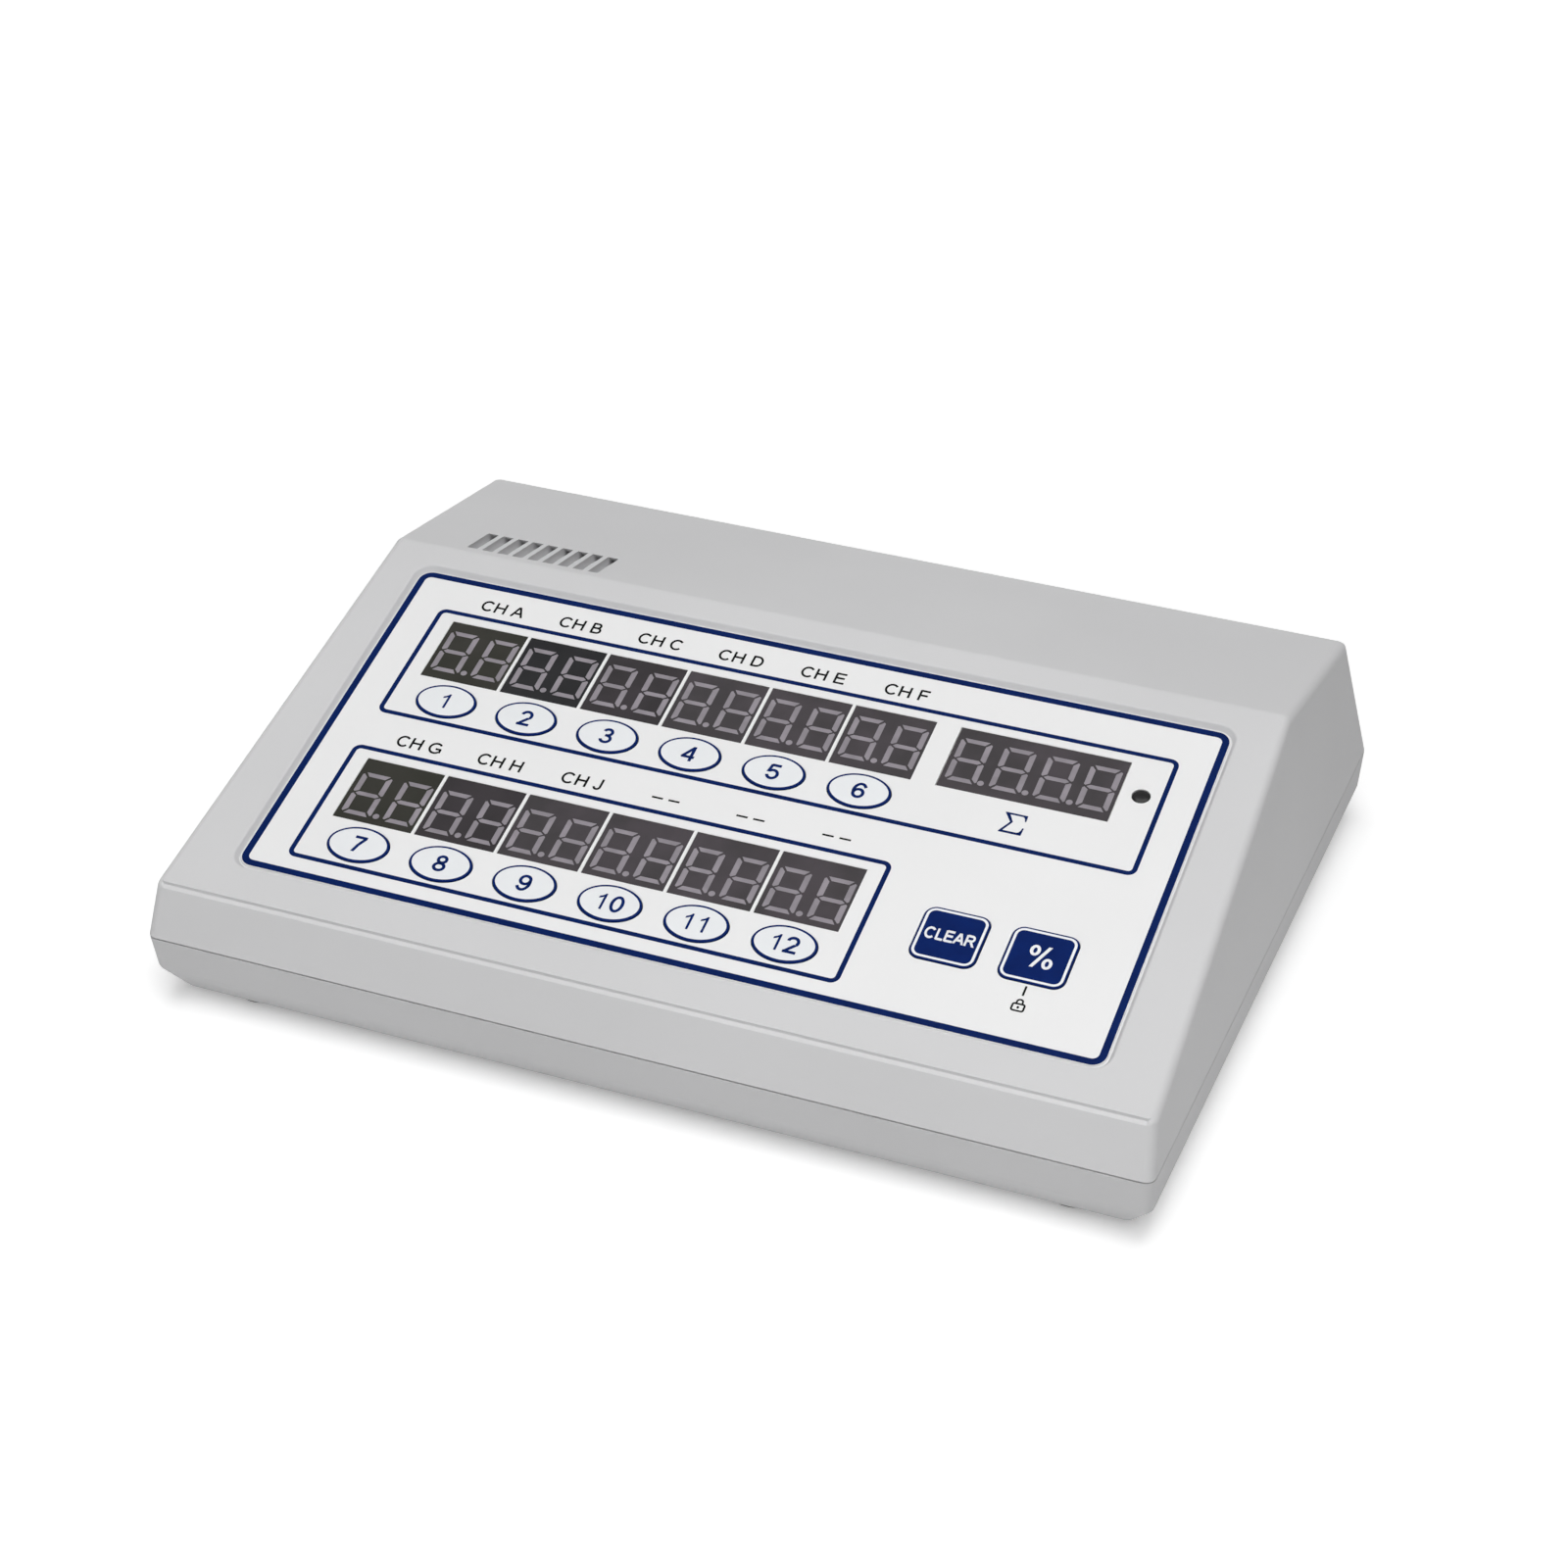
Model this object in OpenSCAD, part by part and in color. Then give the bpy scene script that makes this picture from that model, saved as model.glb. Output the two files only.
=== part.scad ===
// Differential cell counter: a sloping desk case with twelve tally channels.
// Each channel has a two-digit display over an oval key. A four-digit display
// adds them up, and two square keys clear the count or show it in percent.
//
// Millimetres. +X is to the right, +Y to the back and +Z up. The origin is
// on the table, midway between the sides and midway from front to back.

/* [Case] */
// Distance of the case's sides outside the front film, at the joint of its two halves
film_in_x = 11.9; // [11:0.1:24]
// Height of the lower half, feet left out
base_h = 12; // [12:0.5:20]
// Wall thickness of both halves
wall = 2.5; // [2.2:0.1:3]
// Height of the front wall above the joint
front_rise = 9.6; // [8.6:0.2:14]
// How far the front wall leans back over that height
front_setback = 2.6; // [1:0.2:5]
// Slope of the control face in degrees
slope = 17.2; // [15:0.2:20]
// Distance up the slope from the front ridge to the front film
film_in_front = 8.3; // [7.5:0.1:12]
// Distance up the slope from the film to the top ridge
film_in_ridge = 6.165; // [5:0.005:10]
// Depth of the top face behind the ridge
rear_d = 42.2; // [38:0.1:46]
// Height of the rear top edge above the joint
rear_rise = 29.7; // [29:0.1:34]
// How far the back wall leans forward over that height
back_setback = 17.1; // [15:0.1:19]
// Draft of the side walls in degrees
side_draft = 5.8; // [2:0.1:7]
// Radius of the upright corners, seen from above
corner_r = 2.6; // [2:0.1:5]
// Radius along the upper edges
edge_r = 1.5; // [0.8:0.1:2]
// Radius of the upper half's inner edges
inner_edge_r = 0.5; // [0.3:0.1:1]
// Radius of the upright corners inside both halves
inner_corner_r = 0.8; // [0.5:0.1:1.5]

/* [Lower half] */
// Height of the wall band below the joint, above the bottom chamfer
band_h = 7; // [5:0.5:9]
// How far the side walls draw in over that band
band_side_in = 0.8; // [0.2:0.1:2]
// How far the front and back walls draw in over that band
band_end_in = 1.8; // [0.2:0.1:3]
// How far the bottom chamfer draws in further
chamfer_in = 3.6; // [2:0.2:5]
// How far the chamfer draws in further inside
inner_chamfer_in = 2.16; // [1:0.02:3]
// Shadow gap between the two halves
joint_gap = 0.3; // [0.2:0.05:0.5]
// Height of the lip that rises into the upper half
lip_h = 1.5; // [1:0.1:2]
// Thickness of that lip
lip_t = 1.2; // [1:0.1:1.5]
// Depth of the lip's root below the joint
lip_root = 3; // [2:0.5:5]
// Distance of the lip's outer face from the sides and the front
lip_in = 1.5; // [1.4:0.1:1.8]
// Distance of the lip's outer face from the back
lip_back_in = 2.3; // [2.2:0.1:2.6]

/* [Feet and case screws] */
// Diameter of a rubber foot
foot_d = 12; // [10:0.5:13]
// Chamfer around a foot's lower edge
foot_edge = 0.8; // [0.4:0.1:1.2]
// Height of a foot below the case
foot_h = 2; // [1.5:0.5:4]
// Depth of the recess that holds a foot
foot_recess = 1; // [0.5:0.1:1.2]
// Distance of the feet from the side edges
foot_in_x = 15; // [13:0.5:20]
// Distance of the feet from the front and back edges
foot_in_y = 13.3; // [12.5:0.1:15]
// Distance of the case screws from the side edges
post_in_x = 10.5; // [10.5:0.5:12]
// Distance of the case screws from the front and back edges
post_in_y = 26; // [25.6:0.2:32]
// Diameter of the posts that take the case screws
post_d = 8; // [7.5:0.5:9]
// Shank diameter of a case screw
case_screw_d = 2.9; // [2.5:0.1:3.5]
// Length of a case screw under its head
case_screw_l = 14; // [12:1:16]
// Head diameter of a case screw
case_head_d = 5.8; // [5:0.1:6]
// Head height of a case screw
case_head_h = 2.2; // [1.6:0.1:2.6]
// Depth of the case screws' seats below the joint
head_seat = 5; // [4:0.5:6]

/* [Control panel] */
// Thickness of the printed front film
film_t = 0.3; // [0.2:0.05:0.4]
// Corner radius of the film
film_r = 2.4; // [1:0.2:4]
// Depth of the film's recess in the case
recess_d = 1; // [0.8:0.1:1.2]
// How far the recess widens towards its rim
recess_flare = 0.7; // [0.3:0.1:1]
// Distance from the film's left edge to the first displays
row_in_left = 10.7; // [9:0.1:16]
// Distance from the film's right edge to the four-digit display
row_in_right = 14.2; // [12:0.1:18]
// Distance from the film's upper edge to the upper displays
row_in_top = 10.8; // [9:0.1:16]
// Distance from the film's lower edge to the lower displays
row_in_bottom = 14.35; // [13:0.05:18]
// Gap from the upper displays down to the lower displays
row_gap = 21.05; // [19:0.05:25]

/* [Displays] */
// Width of a two-digit display
digit_w = 15; // [14:0.1:17]
// Gap between neighbouring displays
digit_gap = 0.24; // [0.1:0.02:1]
// Width of the four-digit display
total_w = 30; // [28:0.1:33]
// Gap from the last upper display to the four-digit display
total_gap = 4.1; // [3:0.1:8]
// Height of the displays on the panel
digit_h = 14; // [13:0.1:16]
// Depth of a display, from its face to the board
digit_depth = 7.2; // [7:0.1:8]
// How far the displays' faces lie below the film's face
digit_sink = 0.1; // [0:0.05:0.2]
// Distance of the indicator's middle from the four-digit display
indicator_gap = 3.5; // [3:0.1:5]
// Diameter of the indicator lens
indicator_d = 3; // [2:0.1:3.6]
// Thickness of the flange at the foot of the indicator
flange_t = 1; // [0.6:0.1:1.4]
// How far that flange stands out around the lens
flange_out = 0.4; // [0.2:0.05:0.6]

/* [Keys] */
// Width of an oval key
oval_w = 11; // [9:0.1:12]
// Height of an oval key
oval_h = 7.6; // [6:0.1:8]
// Gap from a display down to its key
key_under = 1.15; // [1:0.05:2.5]
// Side of a square key
square_key = 11; // [9:0.1:12]
// Corner radius of a square key
square_key_r = 1.9; // [1:0.1:3]
// Distance from the film's right edge to the percent key
square_in_right = 10.6; // [9:0.1:14]
// Distance from the film's lower edge to the square keys
square_in_bottom = 12.8; // [10:0.1:18]
// Gap between the two square keys
square_gap = 3.8; // [2:0.1:5]
// How far a key stands above the film
key_proud = 0.25; // [0.1:0.05:0.4]
// Travel of a key
key_travel = 0.35; // [0.2:0.05:0.5]
// Side of a key switch's body
switch_side = 6; // [5:0.1:6.2]
// Height of a key switch's body
switch_h = 3.5; // [3:0.1:4]
// Diameter of a key switch's plunger
plunger_d = 3.4; // [2.5:0.1:3.6]
// How deep a plunger stays in its switch, beyond the travel
plunger_in = 0.4; // [0.2:0.1:0.8]

/* [Vents] */
// Number of slots in the rear top face
vents = 9; // [5:1:12]
// Distance from one slot to the next
vent_pitch = 3; // [2.6:0.1:3.4]
// Width of a slot
vent_w = 1.9; // [1:0.1:2.2]
// Length of a slot
vent_l = 9.2; // [6:0.2:14]
// Distance of the slots behind the ridge
vent_back = 2; // [1.6:0.1:4]
// Distance of the first slot from the case's left side at the joint
vent_in = 17.8; // [17:0.2:24]

/* [Main board] */
// Distance of the board's sides inside the film's edges
board_in_x = 5.1; // [4.6:0.1:6]
// Distance of the board's upper edge inside the film's edge
board_in_top = 4.1; // [3:0.1:5]
// Distance of the board's lower edge inside the film's edge
board_in_bottom = 1.1; // [0.8:0.1:2]
// Thickness of both boards
board_t = 1.6; // [1:0.1:2]
// Distance of the board's screws from its edges
board_hole_in = 3.5; // [3.4:0.1:4]
// Diameter of a standoff
standoff_d = 6; // [5:0.1:6]
// Shank diameter of a board screw
board_screw_d = 2.5; // [2:0.1:2.6]
// Length of a board screw under its head
board_screw_l = 6; // [5:0.5:6.5]
// Head diameter of a board screw
board_head_d = 4.6; // [4:0.1:5]
// Head height of a board screw
board_head_h = 1.8; // [1.4:0.1:2.2]
// Length of the controller's package
controller_l = 52; // [40:1:54]
// Width of the controller's package
controller_w = 13.8; // [10:0.2:15]
// Thickness of the chip packages
chip_t = 4; // [3:0.1:4.5]
// Length of a display driver's package
driver_l = 30; // [20:1:31]
// Width of a display driver's package
driver_w = 7.4; // [6:0.1:8]
// Gap between neighbouring drivers
driver_gap = 3; // [2:0.1:4]
// Height of the drivers above the panel's centre
driver_v = 12; // [10:0.5:14]
// Height of the controller from the panel's centre
controller_v = -12; // [-16:0.5:-6]
// Radius of the notch at a chip's end
notch_r = 1.2; // [0.6:0.1:1.6]
// Depth of that notch
notch_depth = 0.4; // [0.2:0.1:0.8]
// Length of the crystal's can
crystal_l = 10; // [8:0.5:11]
// Width of the crystal's can
crystal_w = 4.6; // [4:0.1:5]
// Height of the crystal's can
crystal_h = 3.5; // [3:0.1:4]
// Corner radius of the crystal's can
crystal_r = 2.2; // [1:0.1:2.3]
// Gap from the controller to the crystal
crystal_gap = 5; // [2:0.1:8]
// Diameter of a filter capacitor on the main board
filter_d = 6.3; // [5:0.1:7]
// Height of a filter capacitor
filter_h = 11; // [8:0.5:12]
// Gap between neighbouring filter capacitors
filter_gap = 3; // [1:0.1:5]
// Gap from the ribbon header to the first filter capacitor
filter_in = 8.85; // [6:0.05:14]
// Chamfer around a capacitor's end
can_edge = 0.4; // [0.2:0.1:0.8]

/* [Back wall] */
// Place of the power inlet, to the right seen from behind
inlet_x = 26; // [24:0.5:28]
// Place of the power switch, to the left seen from behind
rocker_x = 26; // [24:0.5:28]
// Bore of the power inlet
inlet_bore = 5.7; // [5.5:0.1:6]
// Diameter of the inlet's pin
inlet_pin = 2.1; // [1.8:0.1:2.5]
// Depth of the inlet's bore
inlet_depth = 9; // [8:0.1:10]
// How far the pin's end lies inside the bore
inlet_pin_in = 1; // [0.5:0.1:2]
// Outer diameter of the inlet's barrel
inlet_barrel = 8; // [7.6:0.1:9]
// Side of the inlet's block
inlet_block = 11; // [9.5:0.5:12]
// Width of the power board
power_w = 84; // [82:1:90]
// Height of the power board
power_h = 24; // [23:0.5:25]
// Distance of the power board from the wall's outer face
power_back = 12.5; // [12.5:0.1:14]
// Distance of the power board's screws from its ends
power_hole_in_x = 4; // [3.5:0.1:4.5]
// Distance of the power board's screws from its long edges
power_hole_in_y = 3.5; // [3.4:0.1:4]

/* [Power switch] */
// Width of the switch's bezel
bezel_w = 10.4; // [10:0.1:12]
// Height of the switch's bezel
bezel_h = 15; // [14.6:0.1:17]
// Thickness of the bezel
bezel_t = 1.6; // [1.2:0.1:2]
// Corner radius of the bezel
bezel_r = 1; // [0.5:0.1:2]
// Width of the switch's body
switch_body_w = 8.6; // [8.4:0.1:9]
// Height of the switch's body
switch_body_h = 13.4; // [13.4:0.1:14]
// Depth of the switch's body behind the bezel
switch_body_d = 11; // [10:0.1:11.5]
// Width of the rocker
rocker_w = 7.2; // [6:0.1:7.2]
// Height of the rocker
rocker_h = 10.8; // [9:0.1:10.8]
// Angle of the rocker to either side of level
rocker_tilt = 11; // [6:1:12]
// Height of the rocker's ends above its pivot
rocker_tip = 4.4; // [4:0.1:4.8]
// Height of the dip between the finger faces above the pivot
rocker_dip = 2.6; // [2.2:0.1:3.4]
// How far the rocker reaches below the pivot's middle
rocker_under = 1; // [0.8:0.1:1.4]
// How far the rocker's ends draw in at the bottom
rocker_taper = 0.3; // [0.1:0.1:0.6]
// Diameter of the rocker's pivot
pivot_d = 2; // [1.6:0.1:2.4]
// Depth of the pivot below the bezel's face
pivot_depth = 2; // [1.6:0.1:2.4]
// Depth of the well under the pivot
well_d = 4; // [3:0.1:5]
// Width of a terminal blade
terminal_w = 4.8; // [3:0.1:6.3]
// Thickness of a terminal blade
terminal_t = 0.8; // [0.5:0.1:1]

/* [Power board parts] */
// Diameter of the buzzer
buzzer_d = 12; // [9:0.5:12]
// Height of the buzzer
buzzer_h = 9.5; // [6:0.5:10]
// Diameter of the buzzer's sound hole
buzzer_hole_d = 2; // [1:0.1:4]
// Depth of the sound hole
buzzer_hole_depth = 1.5; // [0.5:0.1:3]
// Place of the buzzer
buzzer_x = 31; // [30:0.5:31]
// Diameter of the reservoir capacitor
reservoir_d = 10; // [8:0.5:10]
// Height of the reservoir capacitor
reservoir_h = 16; // [12:0.5:20]
// Place of the reservoir capacitor
reservoir_x = 17; // [16.5:0.1:18]
// Width of the heat sink
sink_w = 18; // [15:0.5:18]
// Thickness of the heat sink, over its fins
sink_t = 8; // [7:0.2:8]
// Height of the heat sink
sink_h = 16; // [16:0.5:20]
// Place of the heat sink
sink_x = -27; // [-28:0.5:-26]
// Fins on the heat sink
sink_fins = 5; // [3:1:6]
// Thickness of a fin
fin_t = 1.2; // [0.8:0.1:1.6]
// Thickness of the heat sink's plate
sink_plate_t = 2; // [1.5:0.1:3]
// Width of the voltage regulator
regulator_w = 10; // [8:0.1:10.6]
// Height of the voltage regulator
regulator_h = 13; // [10:0.5:15]
// Thickness of the voltage regulator
regulator_t = 4.6; // [4:0.1:4.8]
// Width of a ribbon header
header_w = 20.3; // [18:0.1:21]
// Thickness of a ribbon header
header_t = 8.8; // [8:0.1:9]
// Height of a ribbon header
header_h = 9; // [8:0.1:10]
// Thickness of a header's walls
header_wall = 1.2; // [0.8:0.1:1.6]
// Thickness of a header's floor
header_floor = 2; // [1:0.1:3]
// Distance of the header's middle from the board's upper edge
header_in = 7; // [6:0.1:8]
// How far a ribbon plug stands past its header
plug_proud = 4; // [3:0.5:6]
// Width of the ribbon cable
ribbon_w = 12.7; // [10:0.1:14]
// Thickness of the ribbon cable
ribbon_t = 0.9; // [0.6:0.1:1.2]
// Length over which the cable runs straight out of a plug
cable_straight = 4; // [2:0.5:6]
// How far the cable sags halfway
cable_sag = 2; // [0:0.5:3]

/* [Clearances] */
// Gap around the film in its recess
film_gap = 0.15; // [0.1:0.05:0.3]
// Gap around a key in the film
key_gap = 0.15; // [0.12:0.01:0.2]
// Gap around a key in the case below the film
key_well_gap = 0.3; // [0.25:0.05:0.4]
// Gap around the displays in their windows
window_gap = 0.25; // [0.2:0.05:0.3]
// Gap around screws and plungers in their holes
hole_gap = 0.1; // [0.05:0.05:0.15]
// Gap around the lip
lip_gap = 0.1; // [0.05:0.05:0.2]
// Gap around the inlet and the switch in the back wall
cutout_gap = 0.2; // [0.1:0.05:0.3]
// Running gap of the rocker's pivot
pivot_gap = 0.08; // [0.05:0.01:0.1]
// Gap beside the rocker in its bezel
rocker_gap = 0.3; // [0.25:0.05:0.35]
// Gap past the rocker's ends in its bezel
rocker_end_gap = 0.75; // [0.7:0.05:0.8]
// Gap around a plug in its header
plug_gap = 0.2; // [0.1:0.05:0.3]
// Gap between a key and its plunger
plunger_gap = 0.05; // [0.03:0.01:0.1]
// Gap under a pressed plunger
plunger_floor_gap = 0.3; // [0.2:0.1:0.5]
// Gap past the ends of the screws in their holes
screw_gap = 0.3; // [0.2:0.1:1]
// Gap between the inlet's block and the wall
inlet_gap = 0.1; // [0.05:0.05:0.2]
// Gap at the ends of the rocker's pivot
pivot_end_gap = 0.1; // [0.05:0.05:0.2]

/* [Hidden] */

$fn = 48;
HULL_FN = 32;
// Overlap that joins faces, or clears them, where two forms meet
EPS = 0.01;
// How far a cut runs past the surface that it opens
OVER = 1;

grey_upper = [0.82, 0.82, 0.81];
grey_lower = [0.78, 0.78, 0.77];
navy = [0.0, 0.11, 0.38];

// ---- the panel, worked out from what it shows ----

// The list of nodes names two rows of this many channels
channels = 6;
channel_pitch = digit_w + digit_gap;
row_w = channels * channel_pitch - digit_gap;
film_w = row_in_left + row_w + total_gap + total_w + row_in_right;
film_h = row_in_top + 2 * digit_h + row_gap + row_in_bottom;
row_x = row_in_left + row_w / 2 - film_w / 2;
total_x = film_w / 2 - row_in_right - total_w / 2;
indicator_x = film_w / 2 - row_in_right + indicator_gap;
top_row_v = film_h / 2 - row_in_top - digit_h / 2;
row_pitch = digit_h + row_gap;
key_drop = digit_h / 2 + key_under + oval_h / 2;
square_pitch = square_key + square_gap;
percent_x = film_w / 2 - square_in_right - square_key / 2;
square_v = square_in_bottom + square_key / 2 - film_h / 2;
panel_up = film_in_front + film_h / 2;

// ---- the case around the panel ----

case_w = film_w + 2 * film_in_x;
ridge_back = front_setback + (film_in_front + film_h + film_in_ridge) * cos(slope);
ridge_rise = front_rise + (ridge_back - front_setback) * tan(slope);
case_d = ridge_back + rear_d + back_setback;
split_z = foot_h + base_h;
front_y = -case_d / 2;

// Side view of the upper half: the front edge of the joint, the front ridge,
// the top ridge, the rear top edge and the back edge of the joint.
profile = [
    [0, 0],
    [front_setback, front_rise],
    [ridge_back, ridge_rise],
    [ridge_back + rear_d, rear_rise],
    [case_d, 0]
];

function unit(v) = v / norm(v);
function inward(a, b) = let (d = unit(b - a)) [d[1], -d[0]];
// A corner of the side view, moved in by t from the two faces that meet there
function inset_corner(i, t) =
    let (n1 = inward(profile[i - 1], profile[i]), n2 = inward(profile[i], profile[i + 1]))
    profile[i] + t * (n1 + n2) / (1 + n1 * n2);

front_lean = atan(front_setback / front_rise);
back_lean = atan(back_setback / rear_rise);
rear_fall = atan((ridge_rise - rear_rise) / rear_d);
// Distances from the middle and the front edge of the walls, moved in by t, at height z
function half_width(z, t) = case_w / 2 - z * tan(side_draft) - t / cos(side_draft);
function wall_front(z, t) = z * tan(front_lean) + t / cos(front_lean);
function wall_back(z, t) = case_d - z * tan(back_lean) - t / cos(back_lean);

// The control panel: v runs up the slope from the panel's centre, n out of it
function panel_point(v, n) =
    [front_y + front_setback + (panel_up + v) * cos(slope) - n * sin(slope),
     split_z + front_rise + (panel_up + v) * sin(slope) + n * cos(slope)];
// The back wall: v runs up the wall from its middle, n out of it
function back_point(v, n) =
    [front_y + case_d - back_setback / 2 - v * sin(back_lean) + n * cos(back_lean),
     split_z + rear_rise / 2 + v * cos(back_lean) + n * sin(back_lean)];

// ---- levels along n, and places of what the case holds ----

film_top = film_t - recess_d;
face_n = film_top - digit_sink;
board_n = face_n - digit_depth;
under_n = board_n - board_t;
board_w = film_w - 2 * board_in_x;
board_h = film_h - board_in_top - board_in_bottom;
board_v = (board_in_bottom - board_in_top) / 2;
header_v = board_v + board_h / 2 - header_in;
power_n = -power_back;
power_under_n = power_n - board_t;
plunger_top = -recess_d - plunger_gap;
plunger_bottom = board_n + switch_h - key_travel - plunger_in;
foot_x = case_w / 2 - foot_in_x;
foot_y = case_d / 2 - foot_in_y;
post_x = case_w / 2 - post_in_x;
post_y = case_d / 2 - post_in_y;
head_seat_z = split_z - head_seat;
pivot_n = bezel_t - pivot_depth;
well_w = rocker_w + 2 * rocker_gap;
well_h = rocker_h + 2 * rocker_end_gap;
plug_end = header_h + plug_proud;
// Cross slot of a screw, as shares of its head
SLOT_L = 0.55;
SLOT_W = 0.14;
SLOT_D = 0.55;

// ---- outlines ----

function arc(c, r, from, to, steps = 8) =
    [for (i = [0:steps]) let (a = from + (to - from) * i / steps) c + r * [cos(a), sin(a)]];
function round_rect(w, h, r) = concat(
    arc([w / 2 - r, h / 2 - r], r, 0, 90),
    arc([r - w / 2, h / 2 - r], r, 90, 180),
    arc([r - w / 2, r - h / 2], r, 180, 270),
    arc([w / 2 - r, r - h / 2], r, 270, 360));
function ellipse(w, h, steps = 48) =
    [for (i = [0:steps - 1]) [w / 2 * cos(360 * i / steps), h / 2 * sin(360 * i / steps)]];

// ---- frames ----

module on_panel() {
    p = panel_point(0, 0);
    translate([0, p[0], p[1]]) rotate([slope, 0, 0]) children();
}

module on_back() {
    p = back_point(0, 0);
    translate([0, p[0], p[1]]) rotate([back_lean - 90, 0, 0]) rotate([0, 0, 180]) children();
}

// One of the twelve channels, counted from 1 along the upper row and on
function channel_x(i) = row_x + ((i - 1) % channels - (channels - 1) / 2) * channel_pitch;
function channel_v(i) = top_row_v - floor((i - 1) / channels) * row_pitch;

module prism(outline, from, to) {
    translate([0, 0, from]) linear_extrude(to - from) polygon(outline);
}

module block(w, h, from, to) {
    translate([-w / 2, -h / 2, from]) cube([w, h, to - from]);
}

module corner_rods(half_w, y0, y1, r, z, h = EPS) {
    for (x = [-1, 1], y = [y0 + r, y1 - r])
        translate([x * (half_w - r), y, z]) cylinder(h = h, r = r, $fn = HULL_FN);
}

// ---- the two halves of the case ----

// The upper half's form, with every face moved in by t and its edges rounded by r.
// It reaches down to the height low above the joint.
module upper_form(t, r, upright_r, low) {
    translate([0, front_y, split_z]) hull() {
        corner_rods(half_width(low, t), wall_front(low, t), wall_back(low, t), upright_r, low);
        for (i = [1:3]) {
            c = inset_corner(i, t + r);
            for (x = [-1, 1])
                translate([x * half_width(c[1], t + r), c[0], c[1]]) sphere(r, $fn = HULL_FN);
        }
    }
}

module key_outline(grow) {
    for (i = [1:2 * channels])
        translate([channel_x(i), channel_v(i) - key_drop])
            polygon(ellipse(oval_w + 2 * grow, oval_h + 2 * grow));
    for (x = [percent_x - square_pitch, percent_x])
        translate([x, square_v])
            polygon(round_rect(square_key + 2 * grow, square_key + 2 * grow, square_key_r + grow));
}

module window_outline() {
    for (v = [top_row_v, top_row_v - row_pitch])
        translate([row_x, v]) square([row_w + 2 * window_gap, digit_h + 2 * window_gap], center = true);
    translate([total_x, top_row_v])
        square([total_w + 2 * window_gap, digit_h + 2 * window_gap], center = true);
}

module panel_cuts() {
    rim = film_gap + recess_flare;
    on_panel() {
        hull() {
            prism(round_rect(film_w + 2 * film_gap, film_h + 2 * film_gap, film_r + film_gap),
                  -recess_d, EPS - recess_d);
            prism(round_rect(film_w + 2 * rim, film_h + 2 * rim, film_r + rim), EPS, 2 * EPS);
        }
        translate([0, 0, -wall - OVER]) linear_extrude(wall + OVER) {
            key_outline(key_gap + key_well_gap);
            window_outline();
        }
        translate([indicator_x, top_row_v, -wall - OVER])
            cylinder(h = wall + OVER, d = indicator_d + 2 * hole_gap);
    }
}

module vent_slots() {
    translate([0, front_y + ridge_back, split_z + ridge_rise]) rotate([-rear_fall, 0, 0])
        for (i = [0:vents - 1])
            translate([vent_in - case_w / 2 + i * vent_pitch - vent_w / 2, vent_back, -wall - OVER])
                cube([vent_w, vent_l, wall + 2 * OVER]);
}

module back_cuts() {
    on_back() {
        translate([inlet_x, 0, -wall - OVER])
            cylinder(h = wall + 2 * OVER, d = inlet_barrel + 2 * cutout_gap);
        translate([-rocker_x, 0, 0])
            block(switch_body_w + 2 * cutout_gap, switch_body_h + 2 * cutout_gap, -wall - OVER, OVER);
    }
}

module board_hole_places() {
    for (x = [-1, 1], v = [-1, 0, 1])
        translate([x * (board_w / 2 - board_hole_in), board_v + v * (board_h / 2 - board_hole_in), 0])
            children();
}

module power_hole_places() {
    for (x = [-1, 1], y = [-1, 1])
        translate([x * (power_w / 2 - power_hole_in_x), y * (power_h / 2 - power_hole_in_y), 0])
            children();
}

module post_places() {
    for (x = [-1, 1], y = [-1, 1]) translate([x * post_x, y * post_y, 0]) children();
}

// The block inside the lip's outer faces, moved out by grow
module lip_block(grow, from, to) {
    w = case_w - 2 * lip_in + 2 * grow;
    y0 = front_y + lip_in - grow;
    y1 = case_d / 2 - lip_back_in + grow;
    translate([0, (y0 + y1) / 2, 0]) prism(round_rect(w, y1 - y0, corner_r), from, to);
}

module upper_case() {
    color(grey_upper) difference() {
        union() {
            difference() {
                upper_form(0, edge_r, corner_r, joint_gap / 2);
                upper_form(wall, inner_edge_r, inner_corner_r, -OVER);
                lip_block(lip_gap, split_z - OVER, split_z + lip_h);
            }
            intersection() {
                upper_form(wall / 2, inner_edge_r, inner_corner_r, -OVER);
                post_places() translate([0, 0, split_z]) cylinder(h = ridge_rise, d = post_d);
            }
            on_panel() board_hole_places() translate([0, 0, board_n])
                cylinder(h = -board_n - wall / 2 - recess_d / 2, d = standoff_d);
            on_back() power_hole_places() translate([0, 0, power_n])
                cylinder(h = power_back - wall / 2, d = standoff_d);
        }
        panel_cuts();
        vent_slots();
        back_cuts();
        post_places() translate([0, 0, split_z - OVER])
            cylinder(h = case_screw_l - head_seat + screw_gap + OVER, d = case_screw_d + 2 * hole_gap);
        on_panel() board_hole_places() board_screw_hole(board_n);
        on_back() power_hole_places() board_screw_hole(power_n);
    }
}

// The hole in a standoff that takes a screw through its board
module board_screw_hole(n) {
    translate([0, 0, n - OVER])
        cylinder(h = board_screw_l - board_t + screw_gap + OVER, d = board_screw_d + 2 * hole_gap);
}

module lower_form(t, top, bottom, draw_in) {
    low_band = split_z - band_h;
    r = max(corner_r - t, inner_corner_r);
    hull() {
        corner_rods(case_w / 2 - t, front_y + t, -front_y - t, r, top - EPS);
        corner_rods(case_w / 2 - band_side_in - t, front_y + band_end_in + t,
                    -front_y - band_end_in - t, r, low_band);
        corner_rods(case_w / 2 - band_side_in - draw_in - t, front_y + band_end_in + draw_in + t,
                    -front_y - band_end_in - draw_in - t, r, bottom);
    }
}

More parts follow.
